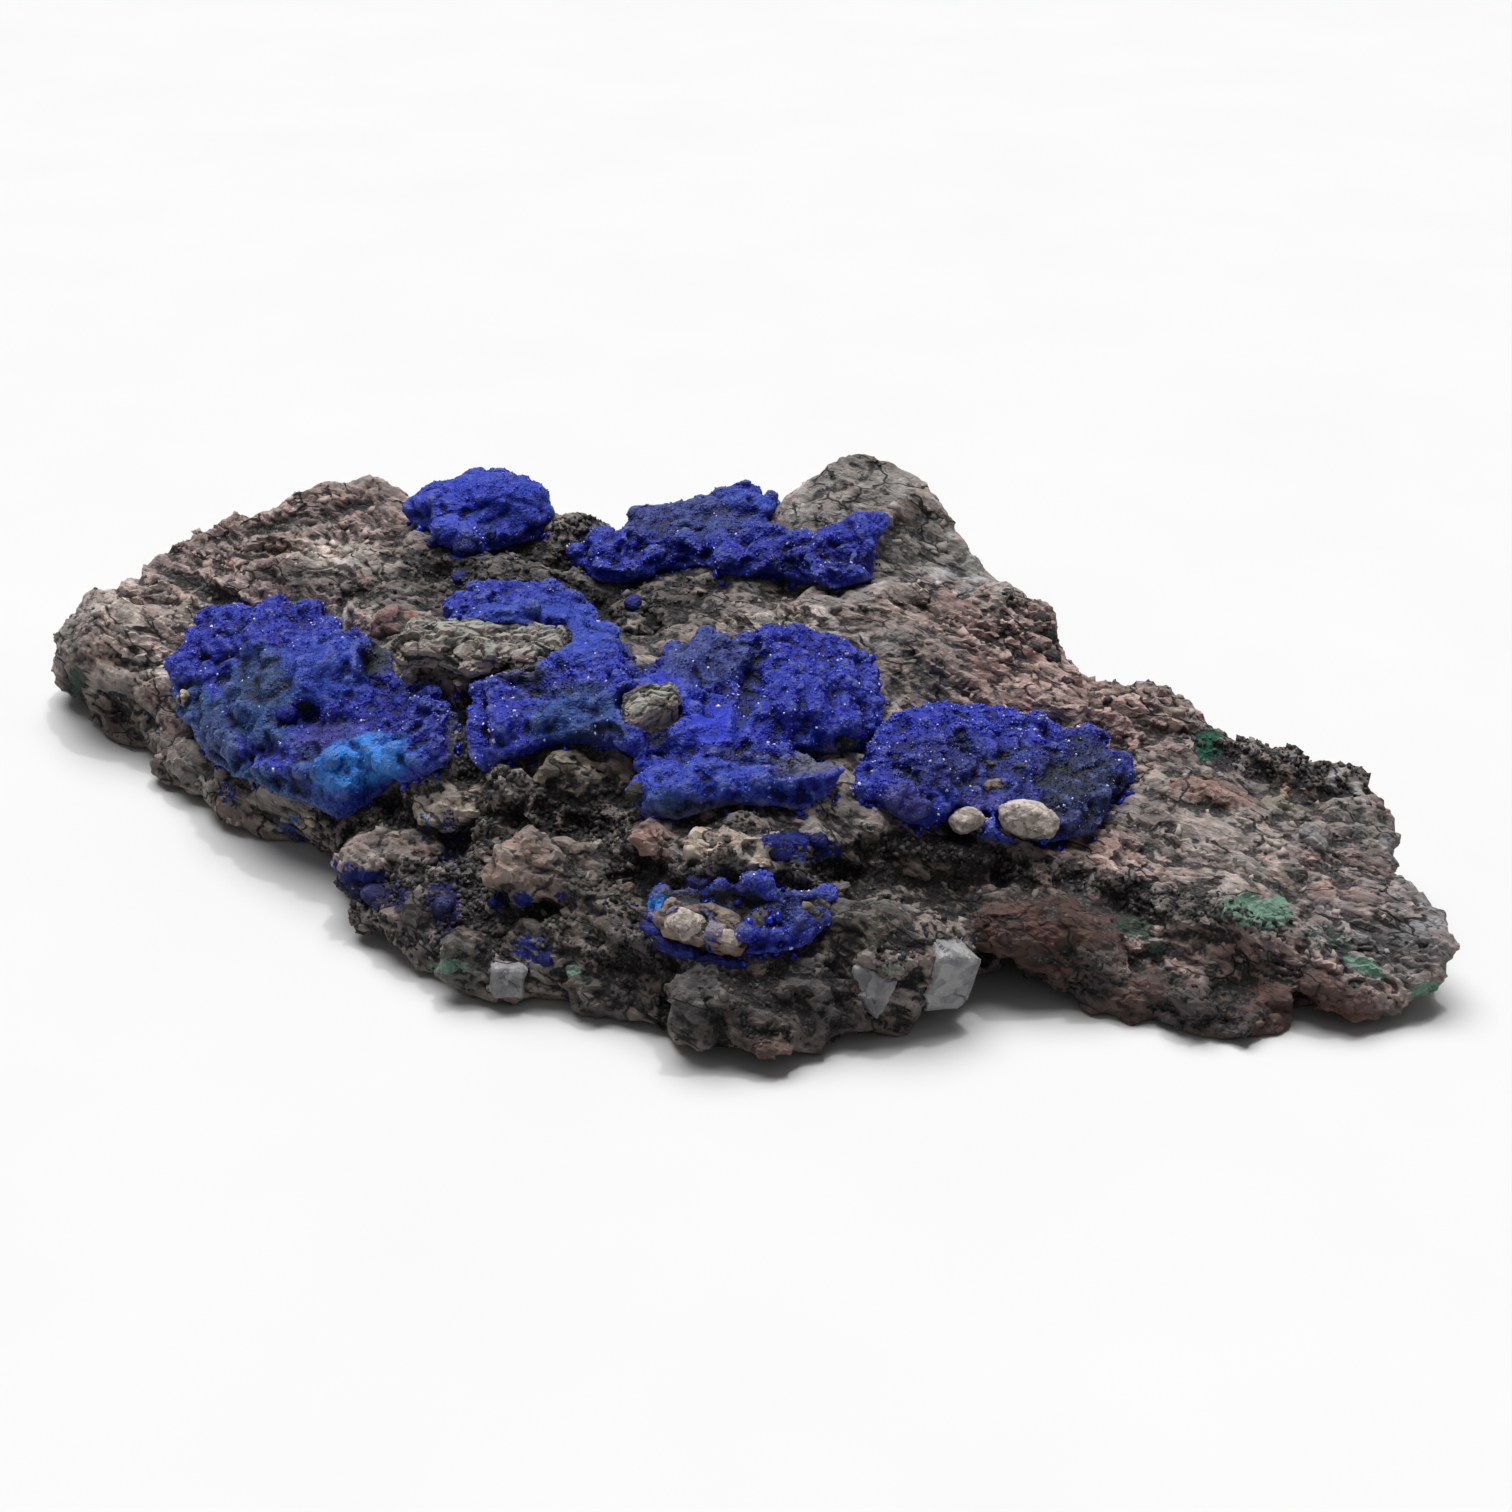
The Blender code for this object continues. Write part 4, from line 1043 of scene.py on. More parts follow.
@dataclass
class Form:
    """The shape of one small crystal or grain, about its own foot, one unit high."""

    corners: Array
    faces: Array

    @classmethod
    def cut(cls, sides: int, top: float, lean: float = 0.0, twist: float = 0.0) -> Form:
        """A tapered prism.

        Args:
            sides: its number of sides.
            top: its width at the top, for a foot 1 wide; 0 is a point.
            lean: how far the top is moved sideways.
            twist: how much the top slopes.

        Returns:
            The form.
        """
        bm = bmesh.new()
        bmesh.ops.create_cone(bm, cap_ends=True, segments=sides, radius1=0.5, radius2=top * 0.5, depth=1.0)
        for vert in bm.verts:
            if vert.co.z > 0.0:
                vert.co.z += vert.co.x * twist
                vert.co.x += lean
        bmesh.ops.triangulate(bm, faces=bm.faces[:])
        return cls.taken(bm)

    @classmethod
    def chip(cls, seed: int, rough: float = 0.35) -> Form:
        """An angular chip, made of a cube with its corners moved."""
        noise.seed_set(CHIP_SEED)
        bm = bmesh.new()
        bmesh.ops.create_cube(bm, size=1.0)
        for vert in bm.verts:
            vert.co += noise.noise_vector(vert.co * 3.1 + Vector((seed, 0.0, 0.0))) * rough
        bmesh.ops.triangulate(bm, faces=bm.faces[:])
        return cls.taken(bm)

    @classmethod
    def taken(cls, bm: bmesh.types.BMesh) -> Form:
        """The form of a finished bmesh, which is freed."""
        bmesh.ops.recalc_face_normals(bm, faces=bm.faces[:])
        bm.verts.ensure_lookup_table()
        corners = np.array([tuple(v.co) for v in bm.verts])
        faces = np.array([[v.index for v in f.verts] for f in bm.faces])
        bm.free()
        return cls(corners, faces)


MIDDLE = (750.0, 760.0)  # where the slab's middle is seen
GLINT = srgb(206, 206, 236)  # painted glint: a crystal painted pale, as if it caught the light
GLINT_RANGE = (0.3, 1.5)  # darkest and brightest of them
MOSTLY_SMALL = 2.2  # above 1, most grains are near their smallest width
FLATNESS = (0.55, 1.0)  # a grain's second width, for a first of 1


@dataclass
class Scatter:
    """Many small crystals or grains on a surface, joined in one mesh."""

    name: str
    forms: Sequence[Form]
    count: int
    sizes: tuple[float, float]  # smallest and largest width
    tall: tuple[float, float]  # height for a width of 1
    lean: float  # how far an axis may lean off the surface's normal
    sink: float  # share of the height below the surface
    seed: int
    vary: tuple[float, float] = (0.7, 1.4)  # darkest and brightest

    def grow(
        self, surface: Surface, chances: Array, tones: Array, glints: Array | None = None
    ) -> bpy.types.Object:
        """Grows them.

        Args:
            surface: what they sit on.
            chances: for each point of the surface, how thickly they grow there.
            tones: for each point of the surface, their colour there.
            glints: for each point of the surface, the share of them that are painted pale, as glints.

        Returns:
            The joined mesh's object.
        """
        dice = np.random.default_rng(self.seed)
        tris = surface.triangles()
        a, b, c = (surface.points[tris[:, k]] for k in range(3))
        area = np.linalg.norm(np.cross(b - a, c - a), axis=1)
        weight = area * chances[tris].mean(axis=1)
        picked = dice.choice(len(tris), self.count, p=weight / weight.sum())
        s, t = dice.random(self.count), dice.random(self.count)
        s, t = np.where(s + t > 1, 1 - s, s), np.where(s + t > 1, 1 - t, t)
        feet = a[picked] + (b - a)[picked] * s[:, None] + (c - a)[picked] * t[:, None]
        tone = tones[tris[picked, 0]] * dice.uniform(*self.vary, self.count)[:, None]
        # painted glints: some crystals take a pale colour, as if they caught the light
        if glints is not None:
            clear = dice.random(self.count) < glints[tris[picked, 0]]
            tone[clear] = np.array(GLINT) * dice.uniform(*GLINT_RANGE, (int(clear.sum()), 1))

        axis = surface.normals[tris[picked, 0]] + dice.normal(size=(self.count, 3)) * self.lean
        axis = unit(axis)
        side = unit(np.cross(axis, dice.normal(size=(self.count, 3))))
        frames = np.stack([side, np.cross(axis, side), axis], axis=1)

        width = between(self.sizes, dice.random(self.count) ** MOSTLY_SMALL)
        height = width * dice.uniform(*self.tall, self.count)
        flat = width * dice.uniform(*FLATNESS, self.count)
        scale = np.stack([width, flat, height], axis=1)
        kinds = dice.integers(len(self.forms), size=self.count)
        corners, faces, colours, start = [], [], [], 0
        for kind, form in enumerate(self.forms):
            here = np.flatnonzero(kinds == kind)
            shape = form.corners[None] + np.array([0.0, 0.0, 0.5 - self.sink])
            placed = np.einsum("nvk,nkj->nvj", shape * scale[here][:, None], frames[here])
            placed += feet[here][:, None]
            corners.append(placed.reshape(-1, 3))
            steps = start + np.arange(len(here)) * len(form.corners)
            faces.append((form.faces[None] + steps[:, None, None]).reshape(-1, 3))
            colours.append(np.repeat(tone[here], len(form.corners), axis=0))
            start += placed.shape[0] * placed.shape[1]
        return joined(self.name, np.concatenate(corners), np.concatenate(faces), np.concatenate(colours))


def joined(name: str, corners: Array, faces: Array, colours: Array) -> bpy.types.Object:
    """One mesh of many small ones, with their colours."""
    mesh = bpy.data.meshes.new(name)
    mesh.vertices.add(len(corners))
    lifted = corners * MM
    lifted[:, 2] = np.maximum(lifted[:, 2], 0.0)
    mesh.vertices.foreach_set("co", lifted.ravel())
    mesh.loops.add(faces.size)
    mesh.loops.foreach_set("vertex_index", faces.ravel().astype(np.int32))
    mesh.polygons.add(len(faces))
    mesh.polygons.foreach_set("loop_start", np.arange(0, faces.size, 3, dtype=np.int32))
    mesh.update(calc_edges=True)
    paint_points(mesh, "tone", colours)
    return mesh_object(name, mesh)


@dataclass(frozen=True)
class Nugget:
    """A stone or a ball that is set at a place on the front."""

    u: float
    v: float
    wide: float
    deep: float
    tall: float
    colour: Rgb
    turn: float = 0.0  # degrees, clockwise in the view
    soot: float | None = None  # share of its black coat, where it isn't that of its set

    def soot_or(self, usual: float) -> float:
        """The share of its black coat, or else its set's."""
        return usual if self.soot is None else self.soot

    def seat(self, ground: BVHTree) -> tuple[Vector, Vector]:
        """The nearest place on the ground that is seen there or towards the middle, and its normal."""
        for step in np.linspace(0.0, 0.5, 51):
            u, v = between((self.u, MIDDLE[0]), step), between((self.v, MIDDLE[1]), step)
            spot, normal = ground.ray_cast(Vector(VIEW.eye), VIEW.ray(u, v))[:2]
            if spot is not None:
                return spot, normal
        raise ValueError(f"nothing is seen near {self.u}, {self.v}")

    def placed(self, ball: Array, ground: BVHTree, sunk: float) -> Array:
        """The points of a ball 1 across, pressed into its shape and sunk in the ground at its place."""
        spot, normal = self.seat(ground)
        up = (normal + UP).normalized()
        right = Vector((1.0, 0.0, 0.0))
        right = Matrix.Rotation(math.radians(-self.turn), 3, up) @ (right - up * right.dot(up)).normalized()
        axes = np.array([right, up.cross(right), up])
        return (ball * (self.wide, self.deep, self.tall)) @ axes + np.array(spot - up * self.tall * sunk)


@dataclass(frozen=True)
class Nuggets:
    """Stones or balls of one kind, joined in one mesh."""

    name: str
    stones: tuple[Nugget, ...]
    soot: float
    facet: float = 0.34
    facet_size: float = 2.4
    square: float = 2.0  # 2 for rounded stones, more for boxy ones
    crag: float = 0.0  # height of its crags
    sunk: float = 0.20  # share of its height from the ground down to its middle

    def build(self, ground: BVHTree) -> Surface:
        """Sets them on the ground, with their looks kept on their points."""
        bm = bmesh.new()
        bmesh.ops.create_icosphere(bm, subdivisions=4, radius=0.5)
        ball = Form.taken(bm)
        reach = (np.abs(ball.corners) ** self.square).sum(axis=1)[:, None] ** (1.0 / self.square)
        boxy = ball.corners * 0.5 / reach
        points = np.concatenate([stone.placed(boxy, ground, self.sunk) for stone in self.stones])
        steps = np.arange(len(self.stones)) * len(ball.corners)
        faces = (ball.faces[None] + steps[:, None, None]).reshape(-1, 3)
        colours = np.repeat([stone.colour for stone in self.stones], len(ball.corners), axis=0)
        skin = Surface(joined(self.name, points, faces, colours))
        cells = Cells.at(points, self.facet_size, seed=6.6)
        heights = cells.broken(self.facet, self.facet * 1.6, 4.0, crack=self.facet * 0.5, width=0.10)
        heights += cloud(points, 1.4, 3, seed=3.0) * self.facet
        heights += self.crag * (crags(points, 4.6, 8.0) + 0.5 * crags(points, 2.1, 9.0))
        skin.raise_by(heights)
        # the foot counts as a hollow: the finishes paint shade where the stone meets the ground, and the
        # rock's coat is thicker there
        foot = ease(distance_to(ground, skin.points, 1.5), 0.9, 0.1)
        soot = np.repeat([stone.soot_or(self.soot) for stone in self.stones], len(ball.corners))
        hollow = np.clip(foot + skin.hollows(6) / 0.06 * 0.4, -1.0, 1.0)
        skin.paint(hollow=hollow, soot=soot, streak=np.full(len(points), 0.25), stained=np.zeros(len(points)))
        return skin


# ---- Pieces ------------------------------------------------------------------------------------

CRUSTS = {  # each crust's number of fused balls and of crystals
    "azurite_left_crust": (70, 4600),
    "azurite_center_crust": (90, 6200),
    "azurite_right_crust": (50, 4400),
    "azurite_back_cap": (4, 900),
    "azurite_back_ridge": (30, 2200),
    "azurite_front_pocket": (16, 900),
}
ROUND_STONES = {  # how far each one's skin stands off its solid
    "pale_pebble_large": -0.35,
    "pale_pebble_small": -0.35,
    "pocket_stone_large": -0.45,
    "pocket_stone_small": -0.45,
}
BANDED_STONES = ("banded_plate", "banded_chip")
QUARTZ_STONES = ("quartz_block_large", "quartz_block_small", "quartz_block_left")


SET_STONES = (
    Nugget(182, 696, 1.7, 1.5, 1.4, srgb(186, 170, 152)),
    Nugget(992, 763, 1.5, 1.1, 1.0, srgb(168, 146, 136)),
    Nugget(993, 787, 1.6, 1.3, 1.4, srgb(166, 146, 132)),
    Nugget(1020, 765, 1.5, 0.9, 0.7, srgb(150, 134, 126)),
    Nugget(313, 818, 1.3, 1.4, 3.4, srgb(186, 174, 156), 12),
    Nugget(399, 624, 6.4, 4.6, 4.0, srgb(146, 118, 114), 14),
    Nugget(703, 926, 10.5, 4.6, 4.2, srgb(160, 140, 129), 26, 0.46),
    Nugget(812, 905, 3.6, 2.6, 2.2, srgb(158, 142, 128), 30),
    Nugget(518, 632, 3.0, 2.4, 1.8, srgb(160, 140, 132), 10),
    Nugget(640, 625, 4.4, 3.4, 2.2, srgb(170, 158, 148), 0),
)
CLASTS = (
    # Pale clasts under the crusts and in the front.
    Nugget(474, 790, 14.0, 5.4, 3.8, srgb(198, 186, 174), -8),
    Nugget(385, 842, 12.5, 7.0, 5.4, srgb(152, 140, 134), 8),
    Nugget(550, 868, 12.5, 7.0, 6.4, srgb(144, 130, 122), 6),
    Nugget(592, 914, 11.0, 6.0, 5.6, srgb(128, 114, 106), -4, 0.46),
    Nugget(662, 838, 6.6, 4.0, 2.6, srgb(150, 126, 118), 6),
    Nugget(712, 842, 6.0, 4.2, 3.6, srgb(190, 176, 162), -6),
    Nugget(757, 845, 5.4, 4.2, 4.4, srgb(180, 164, 150), 10),
    Nugget(577, 770, 7.4, 5.0, 5.6, srgb(126, 118, 108), 4, 0.58),
    Nugget(618, 757, 3.6, 3.4, 3.0, srgb(96, 90, 86)),
    # Dark masses of the front.
    Nugget(520, 930, 5.5, 4.5, 5.0, srgb(102, 98, 95), 10, 0.58),
    Nugget(655, 882, 4.4, 3.6, 3.2, srgb(110, 106, 102), 0, 0.58),
    Nugget(770, 920, 5.4, 4.2, 4.6, srgb(98, 95, 92), 0, 0.58),
    Nugget(872, 925, 10.0, 7.0, 8.0, srgb(104, 99, 95), 6, 0.58),
    Nugget(938, 905, 8.0, 5.0, 4.6, srgb(108, 104, 100), 0, 0.58),
    Nugget(425, 912, 6.0, 5.0, 6.5, srgb(98, 94, 92), -8, 0.58),
    Nugget(480, 945, 7.0, 5.0, 6.0, srgb(108, 104, 100), 6, 0.58),
    Nugget(608, 978, 9.0, 6.0, 7.0, srgb(104, 99, 96), 8, 0.58),
    Nugget(700, 988, 7.0, 6.0, 7.0, srgb(94, 90, 88), 4, 0.58),
    Nugget(778, 990, 10.5, 7.5, 8.5, srgb(96, 92, 90), -4, 0.58),
    Nugget(560, 960, 8.0, 5.0, 5.0, srgb(114, 110, 106), 4, 0.58),
    Nugget(776, 1044, 3.0, 2.2, 1.8, srgb(116, 96, 90)),
    # The rust-brown rock and the reddish lobes below it.
    Nugget(1050, 926, 16.0, 6.5, 5.6, srgb(90, 70, 65), 4),
    Nugget(1130, 990, 9.0, 5.0, 4.0, srgb(98, 82, 77), 10),
    Nugget(1245, 1000, 10.0, 5.0, 4.4, srgb(100, 80, 75), 0),
    Nugget(1345, 985, 9.0, 4.0, 3.6, srgb(102, 82, 77), 10),
    # The right lobe.
    Nugget(1217, 788, 10.5, 4.6, 3.0, srgb(148, 122, 114), 8),
    Nugget(1292, 796, 3.4, 2.8, 1.8, srgb(186, 172, 156), 0),
    Nugget(1345, 787, 4.2, 4.0, 3.4, srgb(154, 154, 154), 10),
    Nugget(1312, 836, 3.8, 3.8, 3.2, srgb(150, 146, 144), 0),
    Nugget(1283, 812, 5.2, 4.4, 3.0, srgb(162, 152, 136), 20),
    Nugget(1378, 806, 4.6, 4.0, 3.2, srgb(146, 132, 128), 30),
    Nugget(1360, 850, 4.6, 3.4, 2.4, srgb(154, 142, 136), 30),
    # The back-right shoulder.
    Nugget(992, 592, 4.6, 5.0, 3.0, srgb(172, 160, 154), 40),
    Nugget(975, 560, 3.6, 4.4, 2.4, srgb(160, 156, 150), 30),
)


DARK_BALLS = (
    Nugget(1042, 618, 2.3, 2.3, 2.1, srgb(62, 60, 62)),
    Nugget(1049, 634, 2.6, 2.6, 2.4, srgb(70, 68, 68)),
    Nugget(1036, 646, 2.2, 2.2, 2.0, srgb(58, 56, 58)),
    Nugget(1052, 656, 2.2, 2.2, 2.0, srgb(66, 64, 66)),
    Nugget(1068, 680, 1.6, 1.6, 1.4, srgb(70, 64, 62)),
    Nugget(1108, 700, 1.4, 1.4, 1.2, srgb(64, 62, 62)),
    Nugget(845, 742, 2.6, 2.2, 2.2, srgb(46, 50, 62)),
    Nugget(548, 755, 2.2, 2.0, 2.0, srgb(84, 80, 72)),
    Nugget(536, 770, 1.8, 1.8, 1.8, srgb(76, 70, 66)),
    Nugget(636, 790, 2.4, 2.2, 2.2, srgb(82, 74, 68)),
)
BLUE_BALLS = (
    Nugget(462, 546, 3.4, 3.2, 3.0, srgb(38, 48, 128)),
    Nugget(488, 532, 2.6, 2.6, 2.2, srgb(44, 60, 140)),
    Nugget(460, 576, 2.6, 2.4, 2.2, srgb(34, 42, 120)),
    Nugget(507, 548, 2.0, 2.0, 1.8, srgb(40, 56, 130)),
    Nugget(634, 602, 2.4, 2.4, 2.2, srgb(34, 42, 128)),
    Nugget(433, 540, 1.8, 1.6, 1.6, srgb(40, 50, 130)),
    Nugget(286, 712, 2.8, 2.4, 2.4, srgb(26, 32, 136)),
    Nugget(494, 902, 1.4, 1.4, 2.6, srgb(34, 44, 128)),
    Nugget(545, 958, 2.2, 1.6, 1.2, srgb(32, 48, 140)),
    Nugget(780, 850, 3.0, 2.2, 1.6, srgb(34, 40, 124)),
    Nugget(820, 838, 2.4, 2.0, 1.6, srgb(30, 36, 116)),
    Nugget(379, 893, 4.6, 3.0, 2.4, srgb(34, 34, 88), 20),
    Nugget(648, 926, 4.2, 2.0, 1.8, srgb(32, 46, 134), 50),
    Nugget(664, 940, 4.6, 2.0, 1.8, srgb(28, 40, 126), 36),
    Nugget(686, 950, 4.6, 2.0, 1.8, srgb(32, 46, 138), 26),
    Nugget(710, 958, 4.6, 2.0, 1.8, srgb(28, 40, 126), 18),
    Nugget(734, 963, 4.2, 2.0, 1.8, srgb(32, 46, 134), 6),
    Nugget(444, 905, 3.0, 2.6, 3.6, srgb(32, 34, 84), -10),
    Nugget(700, 880, 3.2, 2.4, 2.0, srgb(40, 38, 96)),
)


def settle(obj: bpy.types.Object, material: bpy.types.Material, slot: str, *nodes: str) -> None:
    """Gives a finished piece its material and its body, and hides the solids that it stands for."""
    obj.data.materials.clear()
    obj.data.materials.append(material)
    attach(obj, "root")
    if nodes:
        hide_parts(*nodes)
    obj.data.calc_loop_triangles()
    LOG.info("%s: %d triangles", obj.name, len(obj.data.loop_triangles))


def tree_of(objects: Iterable[bpy.types.Object]) -> BVHTree:
    """A search tree of some meshes, in millimetres."""
    corners, faces, start = [], [], 0
    for obj in objects:
        mesh = obj.data
        mesh.calc_loop_triangles()
        corners += [tuple(v.co / MM) for v in mesh.vertices]
        faces += [[start + k for k in tri.vertices] for tri in mesh.loop_triangles]
        start = len(corners)
    return BVHTree.FromPolygons(corners, faces)


def named(nodes: Nodes, names: Iterable[str]) -> BVHTree:
    """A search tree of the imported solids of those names."""
    return tree_of(nodes[name] for name in names)


def nearest(tree: BVHTree, points: Array, most: float) -> tuple[Array, Array]:
    """How far each point is from a surface, at most the given distance, and which face is nearest."""
    found = [tree.find_nearest(p, most) for p in points.tolist()]
    far = np.array([most if hit[3] is None else hit[3] for hit in found])
    return far, np.array([0 if hit[2] is None else hit[2] for hit in found])


def distance_to(tree: BVHTree, points: Array, most: float) -> Array:
    """How far each point is from a surface, at most the given distance."""
    return nearest(tree, points, most)[0]


TONE = slice(0, 3)  # the columns of a look's numbers: its colour, then for the rock
SOOT, LAYERS, GRAIN, BLOCK, STREAK = range(3, 8)
DRUSE, LUMPS, BLACK = range(3, 6)  # and for a crust


@dataclass
class RockSlab:
    """The arkose slab: bedded, broken into blocks and clasts, with ledges, cracks and pits."""

    node: str = "matrix"
    coarse: float = 0.62
    voxel: float = 0.48
    block_size: float = 8.0
    clast_size: float = 2.9
    grain_size: float = 0.9
    beds: tuple[float, float] = (3.5, 1.15)  # thickness of the coarse and of the fine beds
    ledges: tuple[float, float] = (0.85, 0.27)  # height of the ledges of the coarse and of the fine beds
    clearance: float = 2.0  # how near to a crust the rock's bumps die out
    collar: float = 1.0  # height of the rock that grips the quartz
    far: float = 6.0  # how far what has grown on the slab is looked for
    most: int = 196_000  # triangles
    clast_look: RockLook = RockLook(srgb(0, 0, 0), soot=0.36, layers=0.9, grain=0.15, block=0.9, streak=0.4)
    sight: Sight = field(init=False, repr=False)
    looks: Array = field(init=False, repr=False)
    near: Array = field(init=False, repr=False)
    near_blue: Array = field(init=False, repr=False)
    clasts: BVHTree | None = field(default=None, init=False, repr=False)
    clast_faces: int = 1

    def build(self, nodes: Nodes) -> Surface:
        """Builds the slab's skin, with its looks kept on its points.

        Args:
            nodes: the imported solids.

        Returns:
            The skin.
        """
        skin = even_skin("rock", nodes[self.node], self.coarse, 0.0, 3)
        solid = named(nodes, [self.node])
        grown = named(nodes, (*CRUSTS, *ROUND_STONES, *BANDED_STONES))
        self.lay(skin, solid, grown)
        collar = ease(distance_to(named(nodes, QUARTZ_STONES), skin.points, 3.0), 2.6, 0.4)
        self.lift(skin, self.coarse_relief(skin) + self.collar * collar)
        self.set_in(skin)
        skin.remeshed(self.voxel, 1)
        self.lay(skin, solid, grown)
        self.lift(skin, self.fine_relief(skin))
        self.near_blue = distance_to(named(nodes, CRUSTS), skin.points, self.far)

        skin.paint(tone=self.looks[:, TONE], soot=self.looks[:, SOOT], streak=self.looks[:, STREAK])
        stain, stained = self.stains(skin)
        skin.paint(hollow=skin.hollowness((8, 0.10, 0.5), (70, 0.50, 0.7)), stain=stain, stained=stained)
        return skin

    def lay(self, skin: Surface, solid: BVHTree, grown: BVHTree) -> None:
        """Works out the looks at every point of the skin, and how near what has grown on it is."""
        self.sight = Sight.of(skin, solid, cloud(skin.points, 3.0, 3, seed=4.0) * 0.28)
        self.looks = blended(self.sight, ROCK_PATCHES, Rock.MOTTLED)
        if self.clasts:
            far, face = nearest(self.clasts, skin.points, 0.6)
            values = np.array([self.clast_numbers(clast) for clast in CLASTS])[face // self.clast_faces]
            share = ease(far, 0.5, 0.15)[:, None]
            self.looks = self.looks * (1.0 - share) + values * share
        self.near = distance_to(grown, skin.points, self.far)

    def clast_numbers(self, clast: Nugget) -> list[float]:
        """The numbers of the look of a large clast, with its own colour."""
        look = self.clast_look
        return replace(look, colour=clast.colour, soot=clast.soot_or(look.soot)).numbers()

    def set_in(self, skin: Surface) -> None:
        """Sets the large clasts in the slab, to be fused with it by its next remeshing."""
        clasts = Nuggets("clasts", CLASTS, 0.0, facet=0.40, facet_size=2.6, square=2.6, crag=0.9, sunk=0.36)
        stones = clasts.build(tree_of([skin.obj])).obj
        self.clasts = tree_of([stones])
        self.clast_faces = len(stones.data.polygons) // len(CLASTS)
        bm = bmesh.new()
        bm.from_mesh(skin.obj.data)
        bm.from_mesh(stones.data)
        bm.to_mesh(skin.obj.data)
        bm.free()
        bpy.data.objects.remove(stones)

    def lift(self, skin: Surface, heights: Array) -> None:
        """Moves the skin by heights, without burying a crust and without leaving the flat base."""
        heights = np.where(heights > 0.0, heights * ease(self.near, 0.4, self.clearance), heights)
        skin.raise_by(heights * ease(skin.points[:, 2], 0.25, 1.2))

    def bed_of(self, points: Array, thickness: float, bend: float, seed: float) -> Array:
        """How far up through the beds each point is, a whole number to a bed."""
        up = points @ np.array(Vector(BEDDING).normalized())
        bent_by = cloud(points, 11.0, 2, seed=seed) * bend
        return up / thickness + bent_by + cloud(points, 2.6, 3, seed=seed) * 0.22 * bend

    def ledge(self, bed: Array, salt: float) -> Array:
        """Heights of the ledges that the beds make, some of them prouder than others."""
        rise = bed - np.floor(bed)
        proud = 0.4 + hashed(np.floor(bed)[:, None] * np.ones(3), salt)
        return (rise**1.7 - 0.37) * proud - 0.3 * ease(rise, 0.10, 0.0)

    def coarse_relief(self, skin: Surface) -> Array:
        """Heights of the blocks, the thick beds, the crags and the lumps."""
        points = skin.points
        layers, rough, block = self.looks[:, LAYERS], self.looks[:, GRAIN], self.looks[:, BLOCK]
        pressed = layer_axes(BEDDING, 1.8)
        warped = bent(points, 6.0, 1.4)
        blocks = Cells.at(warped, self.block_size, pressed, seed=3.1)
        split = ease(cloud(points, 14.0, 2, seed=21.0), -0.25, 0.35)
        heights = block * blocks.broken(0.60, 0.45, 1.0, crack=split, width=0.09)
        lesser = Cells.at(warped, self.block_size * 0.5, pressed, seed=8.2)
        heights += block * lesser.broken(0.28, 0.40, 3.0, crack=0.45 * split, width=0.09)
        beds = self.bed_of(points, self.beds[0], bend=1.3, seed=6.0)
        heights += layers * self.ledges[0] * self.ledge(beds, 2.0)
        heights += (0.15 + rough) * 0.85 * crags(points, 9.0, 12.0) + rough * 1.3 * crags(points, 4.2, 3.0)
        heights -= heights.mean()
        for patch in ROCK_PATCHES:
            if patch.lift:
                share = self.sight.share(patch, 0.6)
                rim = ease(share, 0.0, 0.2) * ease(share, 0.6, 0.25)
                heights = heights * (1.0 - 0.5 * share) + patch.lift * (share - 0.5 * rim)
        return heights

    def fine_relief(self, skin: Surface) -> Array:
        """Heights of the clasts, the thin beds, the grains and the roughness."""
        points = skin.points
        layers, grain, block = self.looks[:, LAYERS], self.looks[:, GRAIN], self.looks[:, BLOCK]
        clasts = Cells.at(bent(points, 2.5, 0.6), self.clast_size, layer_axes(BEDDING, 1.9), seed=7.7)
        split = ease(cloud(points, 5.0, 2, seed=31.0), -0.2, 0.4)
        heights = (0.1 + 0.7 * block) * clasts.broken(0.12, 0.30, 5.0, crack=0.18 * split, width=0.10)
        beds = self.bed_of(points, self.beds[1], bend=2.2, seed=9.0)
        heights += layers * self.ledges[1] * self.ledge(beds, 7.0)
        grains = Cells.at(points, self.grain_size, seed=5.3)
        heights += np.maximum(grain - 0.15, 0.0) * 0.20 * (grains.domes() - 0.55)
        heights += (0.03 + 0.08 * grain) * crags(points, 2.2, 5.0) + 0.05 * cloud(points, 1.6, 4, seed=9.0)
        return heights - heights.mean()

    def stains(self, skin: Surface) -> tuple[Array, Array]:
        """The stains' colours and shares: blue along the crusts, and the patches of copper minerals."""
        colour = rows_of(Stain.AZURE.value.colour, len(self.near))
        spotty = ease(cloud(skin.points, 4.0, 2, seed=11.0), -0.35, 0.45)
        share = 0.50 * ease(self.near_blue, 2.4, 0.2) * spotty
        for patch in STAIN_PATCHES:
            here = self.sight.share(patch) * patch.amount
            blend = ease(here, 0.05, 0.35)[:, None]
            colour = colour * (1.0 - blend) + np.array(patch.look.value.colour) * blend
            share = np.maximum(share, here * 1.05)
        return colour, share

    def flatten_base(self, skin: Surface) -> None:
        """Makes the flat base of few faces."""
        points = skin.points
        base = (points[:, 2] < 0.22) & (skin.normals[:, 2] < -0.8)
        points[:, 2] = np.where(base, 0.0, points[:, 2])
        skin.shift(np.zeros_like(points))
        skin.thin_out(base, 0.04)
        skin.limited(self.most)


PRISMS = ((0.75, 0.1, 0.4), (0.55, -0.15, -0.3), (0.2, 0.1))  # top, lean and twist of the crystals


